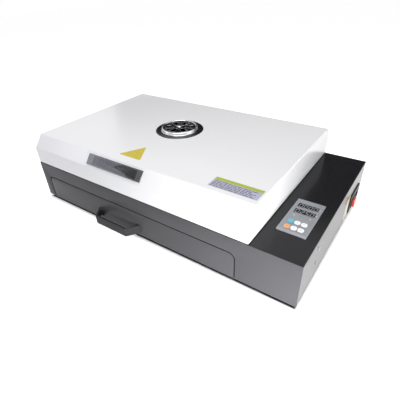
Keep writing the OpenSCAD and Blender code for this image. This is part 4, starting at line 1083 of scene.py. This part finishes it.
# the labels carry no text: a plain triangle, a field with broken rulings and a band, and a field on the right side
labelSize = {"top": 179, "thick": 0.15, "triangleX": 299, "triangleY": 46, "triangleWide": 64, "triangleTall": 56,
             "triangleRound": 2.5, "triangleThick": 0.17,
             "infoRight": 613.5, "infoFront": 38, "infoWide": 103, "infoTall": 35, "round": 1.2,
             "bandTall": 9, "bandInset": 0.1, "bandLow": 0.1, "bandHigh": 0.18, "rulings": 5, "rulingThick": 1.9,
             "rulingPitch": 4.7, "rulingFirst": 3.4, "rulingHigh": 0.175, "rulingLeft": 3.5, "rulingRight": 5,
             "rulingShorter": 9, "dash": 5, "dashStep": 3.5, "dashGap": 1.8, "dashLeast": 4,
             "sideX": 720, "sideFront": 284, "sideLow": 16, "sideWide": 30, "sideTall": 56, "sideBandTall": 10}


def makeFilm(name, color, darker):  # printed film: slight mottling, soft sheen
    material, tree, shader = startMaterial(name)
    mottle = noiseNode(tree, objectPlace(tree), 130, 4)
    link(tree, colorRamp(tree, mottle, darker, color, 0.3, 0.7), shader.inputs["Base Color"])
    rough = mathNode(tree, "ADD", mathNode(tree, "MULTIPLY", mottle, 0.15), 0.3)
    link(tree, rough, shader.inputs["Roughness"])
    addBump(tree, shader, mottle, 0.05, 0.0002)
    return material


yellowFilm = makeFilm("yellowFilm", (0.62, 0.51, 0.045), (0.54, 0.44, 0.035))
oliveFilm = makeFilm("oliveFilm", (0.42, 0.52, 0.05), (0.36, 0.45, 0.04))
lilacFilm = makeFilm("lilacFilm", (0.5, 0.5, 0.62), (0.44, 0.44, 0.57))
creamFilm = makeFilm("creamFilm", (0.66, 0.62, 0.46), (0.58, 0.54, 0.4))
inkGrey = makeFilm("inkGrey", (0.07, 0.07, 0.09), (0.05, 0.05, 0.07))


def roundedTriangle(wide, tall, radius, steps=5):
    corners = [Vector((-wide / 2, 0)), Vector((wide / 2, 0)), Vector((0, tall))]
    points = []
    for index, corner in enumerate(corners):
        before = (corners[index - 1] - corner).normalized()
        after = (corners[(index + 1) % 3] - corner).normalized()
        half = before.angle(after) / 2
        centre = corner + (before + after).normalized() * radius / math.sin(half)
        start = centre - corner - before * (centre - corner).dot(before)
        end = centre - corner - after * (centre - corner).dot(after)
        for step in range(steps + 1):
            spot = centre - (start.lerp(end, step / steps)).normalized() * radius
            points.append((spot.x, spot.y))
    return points


def topFilm(name, points, x, y, low, high, material):  # a film on the roof, its heights above the roof
    film = prism(name, points, labelSize["top"] + low, labelSize["top"] + high)
    paintWith(film, material)
    return move(film, panelPlace(x, y))


def makeTopLabels():
    s = labelSize
    triangle = roundedTriangle(s["triangleWide"], s["triangleTall"], s["triangleRound"])
    pieces = [topFilm("ovenLabels", triangle, s["triangleX"], s["triangleY"], 0, s["triangleThick"], yellowFilm)]
    infoX, infoY = s["infoRight"] - s["infoWide"] / 2, s["infoFront"]
    field = roundedPoints(s["infoWide"], s["infoTall"], s["round"], 3)
    pieces.append(topFilm("infoField", field, infoX, infoY + s["infoTall"] / 2, 0, s["thick"], lilacFilm))
    band = roundedPoints(s["infoWide"] - 2 * s["bandInset"], s["bandTall"], s["round"] - s["bandInset"], 3)
    bandY = infoY + s["infoTall"] - s["bandTall"] / 2 - s["bandInset"]
    pieces.append(topFilm("infoBand", band, infoX, bandY, s["bandLow"], s["bandHigh"], oliveFilm))
    half = s["rulingThick"] / 2
    for row in range(s["rulings"]):  # ruled lines broken into plain dashes, every other row shorter
        start = -s["infoWide"] / 2 + s["rulingLeft"]
        end = s["infoWide"] / 2 - s["rulingRight"] - s["rulingShorter"] * (row % 2)
        index = row
        rulingY = infoY + s["rulingFirst"] + s["rulingPitch"] * row
        while start < end - s["dashLeast"]:
            stop = min(start + s["dash"] + s["dashStep"] * (index % 3), end)
            line = [(start, -half), (stop, -half), (stop, half), (start, half)]
            pieces.append(topFilm("dash", line, infoX, rulingY, s["bandLow"], s["rulingHigh"], inkGrey))
            start, index = stop + s["dashGap"], index + 2
    return pieces


def makeSideLabels():
    s = labelSize
    middleY = s["sideFront"] + s["sideWide"] / 2
    field = sidePrism("sideField", roundedPoints(s["sideWide"], s["sideTall"], s["round"], 3),
                      s["sideX"], s["sideX"] + s["thick"], middleY, s["sideLow"] + s["sideTall"] / 2)
    outline = roundedPoints(s["sideWide"] - 2 * s["bandInset"], s["sideBandTall"], s["round"] - s["bandInset"], 3)
    bandZ = s["sideLow"] + s["sideTall"] - s["sideBandTall"] / 2 - s["bandInset"]
    band = sidePrism("sideBand", outline, s["sideX"] + s["bandLow"], s["sideX"] + s["bandHigh"], middleY, bandZ)
    paintWith(field, creamFilm)
    paintWith(band, yellowFilm)
    return [field, band]


pieces = makeTopLabels() + makeSideLabels()
joinAll("ovenLabels", *pieces)
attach(pieces[0], "cabinet")
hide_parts("labels")
print("labels made")


fanSize = {"x": 662, "z": 56, "start": 398.5, "hub": 17, "tip": 36.4, "blades": 7, "bladeThick": 1.2,
           "bladeMiddle": 12.8, "bladeLow": 4.6, "bladeHigh": 21.2, "rootPitch": 52, "untwist": 18,
           "rootChord": 15.5, "chordGain": 6, "sweep": 9, "flatten": 0.84, "camber": 1.6,
           "guardY": 425, "guardRings": (10, 19, 28, 37), "ringUp": 1.15, "wire": 0.8, "spokeUp": 0.85,
           "spokeLong": 93, "eyeOut": 48.2}


def makeFanBlade():  # one twisted blade: a grid bent point by point, then given its thickness
    f = fanSize
    deselectAll()
    bpy.ops.mesh.primitive_grid_add(x_subdivisions=10, y_subdivisions=8, size=1, location=(0, 0, 0))
    blade = named("fanBlade")
    for vertex in blade.data.vertices:
        u, v = vertex.co.x + 0.5, vertex.co.y
        reach = f["hub"] - 0.8 + (f["tip"] - f["hub"] + 0.2) * u
        pitch = math.radians(f["rootPitch"] - f["untwist"] * u)
        chord = (f["rootChord"] + f["chordGain"] * u) * v
        angle = math.radians(f["sweep"] * u * u) + chord * math.cos(pitch) / reach
        rise = chord * math.sin(pitch) * f["flatten"] + f["camber"] * (0.25 - v * v) + f["bladeMiddle"]
        rise = min(max(rise, f["bladeLow"]), f["bladeHigh"])
        vertex.co = (mm(reach * math.cos(angle)), mm(reach * math.sin(angle)), mm(rise))
    giveWall(blade, "thickness", f["bladeThick"], 0)
    return blade


def makeFanRotor():
    f = fanSize
    profile = [(2.06, 4.05), (16.2, 4.05), (17, 4.6), (17, 20.4), (16, 21.6), (14.5, 21.95), (1.2, 21.95),
               (1.2, 17.6), (2.06, 17.6)]
    hub = turned("fanRotor", (0, 0, 0), profile)
    blades = [move(makeFanBlade(), (0, 0, 0), (0, 0, math.radians(360 * index / f["blades"])))
              for index in range(f["blades"])]
    joinAll("fanRotor", hub, *blades)
    paintWith(hub, fanPlastic)
    move(hub, at(f["x"], f["start"], f["z"]), (math.radians(-90), 0, 0))
    smooth(hub, 40)
    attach(hub, "cooling_rotor")
    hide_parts("cooling_fan_rotor")


def makeFanGuard():
    f = fanSize
    wires = []
    for radius in f["guardRings"]:
        deselectAll()
        bpy.ops.mesh.primitive_torus_add(major_radius=mm(radius), minor_radius=mm(f["wire"]), major_segments=72,
                                         minor_segments=12, location=(0, 0, mm(f["ringUp"])))
        wires.append(named("guardRing"))
    for turn in (45, 135):
        spoke = addRod("guardSpoke", (0, 0, mm(f["spokeUp"])), mm(f["wire"]), mm(f["spokeLong"]), axis="X", vertices=16)
        roundEdges(spoke, 0.3, 2, 50)
        wires.append(move(spoke, (0, 0, 0), (0, 0, math.radians(turn))))
    profile = [(0.01, 0.05), (3.1, 0.05), (3.4, 0.4), (3.4, 1.2), (3.0, 1.7), (0.01, 1.9)]
    for index in range(4):  # the eyes that the screws hold
        angle = math.radians(45 + 90 * index)
        place = (mm(f["eyeOut"] * math.cos(angle)), mm(f["eyeOut"] * math.sin(angle)), 0)
        wires.append(turned("guardEye", place, profile, vertices=24))
    guard = wires[0]
    joinAll("fanGuard", *wires)
    paintWith(guard, chrome)
    move(guard, at(f["x"], f["guardY"], f["z"]), (math.radians(-90), 0, 0))
    smooth(guard, 40)
    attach(guard, "cabinet")
    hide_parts("fan_guard")


makeFanRotor()
makeFanGuard()
print("fan made")


frontSize = {"wide": 720, "low": 9.5, "deck": 108, "sheet": 1.5, "openLeft": 26, "openLow": 5, "openWide": 568,
             "openTop": 73, "openRound": 15, "flange": 1.2, "flangeBack": 16, "gap": 1.5, "faceLow": 10.3,
             "edge": 0.45, "returnBack": 13.2, "rimSide": 0.985, "rimStart": 0.44}


def roundTopPoints(left, low, wide, high, radius, steps=8):  # x, z of an outline with round upper corners
    return ([(left, low), (left + wide, low)]
            + arcPoints(left + wide - radius, high - radius, radius, 0, steps)
            + arcPoints(left + radius, high - radius, radius, 90, steps))


def frontPrism(name, points, startY, endY):  # an x, z outline drawn out along y
    return move(prism(name, points, 0, endY - startY), at(0, endY, 0), (math.radians(90), 0, 0))


def shadeGapRim(piece):  # the edges that face the drawer's gap get a near-black finish: painted shade that darkens the gap
    f = frontSize
    reach = mm(f["flange"] + 1)
    low = at(f["openLeft"], f["edge"], 0)
    high = at(f["openLeft"] + f["openWide"], 0, f["openTop"])
    for face in piece.data.polygons:
        c = face.center
        inOpening = low.x - reach < c.x < high.x + reach and c.z < high.z + reach
        if inOpening and c.y > low.y - mm(f["rimStart"]) and abs(face.normal.y) < f["rimSide"]:
            face.material_index = 1


def makeFrontPanel():
    f, g = frontSize, frontSize["flange"]
    panel = addBlock("frontPanel", at(0, 0, f["low"]), at(f["wide"], f["sheet"], f["deck"]))
    opening = roundTopPoints(f["openLeft"], f["openLow"], f["openWide"], f["openTop"], f["openRound"])
    cutWith(panel, frontPrism("openingCut", opening, -5, 5))
    roundEdges(panel, f["edge"], 3, 40)
    outline = roundTopPoints(f["openLeft"] - g, f["low"], f["openWide"] + 2 * g, f["openTop"] + g, f["openRound"] + g)
    flange = frontPrism("openingFlange", outline, f["sheet"] - 0.05, f["flangeBack"])
    cutWith(flange, frontPrism("openingCut", opening, -5, 25))
    joinAll("frontPanel", panel, flange)
    # the second finish darkens the edges around the drawer's gap as painted shade
    paintWith(panel, caseFront, gapShadeBlack)
    shadeGapRim(panel)
    smooth(panel, 35)
    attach(panel, "cabinet")
    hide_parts("front_panel")


def makeDrawerFace():
    f, g = frontSize, frontSize["flange"]
    left, wide = f["openLeft"] + f["gap"], f["openWide"] - 2 * f["gap"]
    high, radius = f["openTop"] - f["gap"], f["openRound"] - f["gap"]
    outline = roundTopPoints(left, f["faceLow"], wide, high, radius)
    face = frontPrism("drawerFace", outline, 0, f["sheet"])
    roundEdges(face, f["edge"], 3, 40)
    rim = frontPrism("drawerReturn", outline, f["sheet"] - 0.3, f["returnBack"])
    inside = roundTopPoints(left + g, f["faceLow"] + g, wide - 2 * g, high - g, radius - g)
    cutWith(rim, frontPrism("returnCut", inside, f["sheet"] - 2, 30))
    joinAll("drawerFace", face, rim)
    # the second finish darkens the drawer face's edges in the gap as painted shade
    paintWith(face, caseFront, gapShadeBlack)
    shadeGapRim(face)
    smooth(face, 35)
    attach(face, "drawer")
    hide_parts("drawer_front")


makeFrontPanel()
makeDrawerFace()
print("front made")


footSize = {"inset": 34, "wide": 720, "deep": 425, "recess": 2.2, "boss": 5.2, "roof": 4}


def makeFeet():
    f = footSize
    profile = [(f["boss"], f["roof"]), (f["boss"], 0.3), (5.6, 0), (10.2, 0), (10.9, 0.25), (11.3, 0.9), (11.35, 2.4),
               (11.75, 2.7), (12, 3.2), (12, 7.2), (11.8, 7.7), (11.3, 8), (f["recess"], 8), (f["recess"], f["roof"])]
    pattern = turned("rubberFeet", (0, 0, 0), profile, vertices=56)
    feet = [move(copyOf(pattern, "rubberFoot"), at(x, y, 0)) for x in (f["inset"], f["wide"] - f["inset"])
            for y in (f["inset"], f["deep"] - f["inset"])]
    bpy.data.objects.remove(pattern, do_unlink=True)
    joinAll("rubberFeet", *feet)
    paintWith(feet[0], rubberFoot)
    smooth(feet[0], 40)
    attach(feet[0], "cabinet")
    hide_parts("feet")


makeFeet()
print("feet made")


# the wire coils inside the quartz tubes
coilSize = {"startX": 58, "endX": 546, "firstY": 62.2, "pitchY": 59.32, "count": 6, "z": 139.8, "radius": 3.2,
            "wire": 0.45, "turns": 61, "stepsPerTurn": 10}


def makeCoils():
    c = coilSize
    deselectAll()
    bpy.ops.mesh.primitive_circle_add(vertices=6, radius=mm(c["wire"]), location=(mm(c["radius"]), 0, 0),
                                      rotation=(math.radians(90), 0, 0))
    coil = settle(named("heaterCoils"))
    winding = coil.modifiers.new("winding", "SCREW")
    winding.angle = math.radians(360 * c["turns"])
    winding.screw_offset = mm(c["endX"] - c["startX"])
    winding.steps = c["stepsPerTurn"] * c["turns"]
    winding.render_steps = c["stepsPerTurn"] * c["turns"]
    winding.use_merge_vertices = False
    finishModifiers(coil)
    move(coil, (0, 0, 0), (0, math.radians(90), 0))
    coils = [coil] + [copyOf(coil, "coil") for index in range(1, c["count"])]
    for index, one in enumerate(coils):
        move(one, at(c["startX"], c["firstY"] + index * c["pitchY"], c["z"]))
    joinAll("heaterCoils", *coils)
    paintWith(coil, heaterWire)
    smooth(coil, 60)
    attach(coil, "cabinet")


makeCoils()
print("heater coils made")


cameraLook = {"place": (0.45203, -0.60521, 0.51062), "turn": (55.814, 2.193, 34.643), "lens": 30.33, "sensor": 36}


def makeCamera():
    data = bpy.data.cameras.new("benchCamera")
    data.lens = cameraLook["lens"]
    data.sensor_width = cameraLook["sensor"]
    camera = bpy.data.objects.new("benchCamera", data)
    scene.collection.objects.link(camera)
    camera.location = cameraLook["place"]
    camera.rotation_euler = Euler([math.radians(a) for a in cameraLook["turn"]], "XYZ")
    scene.camera = camera


lampLook = {
    "keyRight": {"place": (0.66, -0.62, 0.1), "aim": (0.3, -0.21, 0.02), "size": (0.3, 0.1), "power": 1.1,
                 "spread": 62},
    "sideRight": {"place": (1.25, 0.25, 0.7), "aim": (0.25, 0.03, 0.12), "size": (0.9, 0.7), "power": 3.7},
    "overhead": {"place": (0.02, -0.12, 1.6), "aim": (0, 0, 0.15), "size": (1.2, 1.0), "power": 14.1},
}


def addPanelLamp(name, size, power):
    data = bpy.data.lights.new(name, "AREA")
    data.shape = "RECTANGLE"
    data.size, data.size_y = size
    data.energy = power
    lamp = bpy.data.objects.new(name, data)
    scene.collection.objects.link(lamp)
    return lamp


def makeLamps():
    for name, look in lampLook.items():
        lamp = addPanelLamp(name, look["size"], look["power"])
        lamp.data.spread = math.radians(look.get("spread", 180))
        lamp.location = look["place"]
        aim = Vector(look["aim"]) - Vector(look["place"])
        lamp.rotation_euler = aim.to_track_quat("-Z", "Y").to_euler()


cardLook = {"edgeX": 299, "halfTall": 13, "lift": 4, "distance": 0.95, "size": (0.4, 0.4), "power": 0.84,
            "color": (0.8, 0.8, 1.0)}


def makeCard():  # a soft panel at the front left, which the window's left part mirrors up to one straight edge
    k = cardLook
    normal = Vector((0, -math.sin(slopeTurn[0]), math.cos(slopeTurn[0])))
    eye = Vector(cameraLook["place"])
    low = slopePlace(k["edgeX"], slopeMiddle - k["halfTall"], k["lift"])
    high = slopePlace(k["edgeX"], slopeMiddle + k["halfTall"], k["lift"])
    twin = eye - 2 * (eye - low).dot(normal) * normal  # the eye mirrored in the pane
    ray = ((low + high) / 2 - twin).normalized()
    edge = (high - low) - (high - low).dot(ray) * ray
    edge.normalize()
    across = edge.cross(-ray).normalized()
    if across.x > 0:
        across = -across
    centre = (low + high) / 2 + ray * k["distance"] + across * k["size"][0] / 2
    lamp = addPanelLamp("leftCard", k["size"], k["power"])
    lamp.data.color = k["color"]
    turn = Matrix((edge.cross(ray), edge, ray)).transposed()  # it shines back along the ray
    lamp.matrix_world = Matrix.Translation(centre) @ turn.to_4x4()


flagLook = {"low": (-1.5, 1.0, 0.3), "high": (1.0, 1.0, 0.95), "color": (0.02, 0.02, 0.022)}


def makeFlag():  # a black studio flag behind the oven, which only the glossy faces mirror
    low, high = Vector(flagLook["low"]), Vector(flagLook["high"])
    deselectAll()
    bpy.ops.mesh.primitive_plane_add(size=1, location=(0, 0, 0))
    flag = named("studioFlag")
    flag.location = (low + high) / 2
    flag.rotation_euler = (math.radians(90), 0, 0)
    flag.scale = (high.x - low.x, high.z - low.z, 1)
    material, tree, shader = startMaterial("flagCloth")
    weave = noiseNode(tree, objectPlace(tree), 200, 2)
    shader.inputs["Base Color"].default_value = (*flagLook["color"], 1)
    rough = mathNode(tree, "ADD", mathNode(tree, "MULTIPLY", weave, 0.1), 0.88)
    link(tree, rough, shader.inputs["Roughness"])
    paintWith(flag, material)
    flag.visible_camera = flag.visible_diffuse = flag.visible_shadow = flag.visible_transmission = False


def seenDirectly(tree):  # what the camera, glass and gloss see, and not the light that falls on the object
    rays = tree.nodes.new("ShaderNodeLightPath").outputs
    seen = mathNode(tree, "MAXIMUM", rays["Is Camera Ray"], rays["Is Transmission Ray"])
    return mathNode(tree, "MAXIMUM", seen, rays["Is Glossy Ray"])


worldLook = {"fill": 0.36, "shown": 1.0}


def makeWorld():
    world = bpy.data.worlds.new("studio")
    scene.world = world
    world.use_nodes = True
    tree = world.node_tree
    tree.nodes.clear()
    out = tree.nodes.new("ShaderNodeOutputWorld")
    mix = tree.nodes.new("ShaderNodeMixShader")
    link(tree, seenDirectly(tree), mix.inputs[0])
    for index, look in ((1, "fill"), (2, "shown")):
        light = tree.nodes.new("ShaderNodeBackground")
        light.inputs["Color"].default_value = (1, 1, 1, 1)
        light.inputs["Strength"].default_value = worldLook[look]
        link(tree, light.outputs[0], mix.inputs[index])
    link(tree, mix.outputs[0], out.inputs["Surface"])


# fade and under are how far the glow and the colour take to rise, in metres outside the case's footprint; the dimmed
# glow near the case and the black colour under it are a painted shadow
floorLook = {"reach": 6, "color": (0.9, 0.9, 0.9), "drift": (0.88, 0.88, 0.88), "glow": 0.62, "fade": 0.01,
             "edge": 0.3, "under": 0.003}


def clampedRise(tree, value, distance, start):
    rise = mathNode(tree, "ADD", mathNode(tree, "DIVIDE", value, distance), start)
    rise.node.use_clamp = True
    return rise


def makeFloor():
    k = floorLook
    deselectAll()
    bpy.ops.mesh.primitive_plane_add(size=2 * k["reach"], location=(0, 0, 0))
    floor = named("studioFloor")
    material, tree, shader = startMaterial("paleFloor")
    place = objectPlace(tree)
    color = colorRamp(tree, noiseNode(tree, place, 2, 2), k["drift"], k["color"])
    shader.inputs["Roughness"].default_value = 0.9
    shader.inputs["Emission Color"].default_value = (1, 1, 1, 1)
    split = tree.nodes.new("ShaderNodeSeparateXYZ")
    link(tree, place, split.inputs[0])
    low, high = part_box("base_pan")
    sides = []
    for axis in (0, 1):  # how far a place is outside the case's footprint; inside it the floor is painted black as shadow
        off = mathNode(tree, "SUBTRACT", split.outputs[axis], (low[axis] + high[axis]) / 2)
        away = mathNode(tree, "ABSOLUTE", off, 0)
        sides.append(mathNode(tree, "SUBTRACT", away, (high[axis] - low[axis]) / 2))
    outside = mathNode(tree, "MAXIMUM", *sides)
    # the floor's colour goes to black under the case: a painted shadow
    paintedShadowUnder = clampedRise(tree, outside, k["under"], 1)
    link(tree, scaledColor(tree, color, paintedShadowUnder), shader.inputs["Base Color"])
    # the glow drops near the case's edge: a painted contact shadow
    glowWithPaintedShadow = mathNode(tree, "MULTIPLY", seenDirectly(tree), clampedRise(tree, outside, k["fade"], k["edge"]))
    link(tree, mathNode(tree, "MULTIPLY", glowWithPaintedShadow, k["glow"]), shader.inputs["Emission Strength"])
    paintWith(floor, material)


makeCamera()
makeLamps()
makeCard()
makeFlag()
makeWorld()
makeFloor()
scene.view_settings.view_transform = "Standard"
print("camera, lamps and floor set")
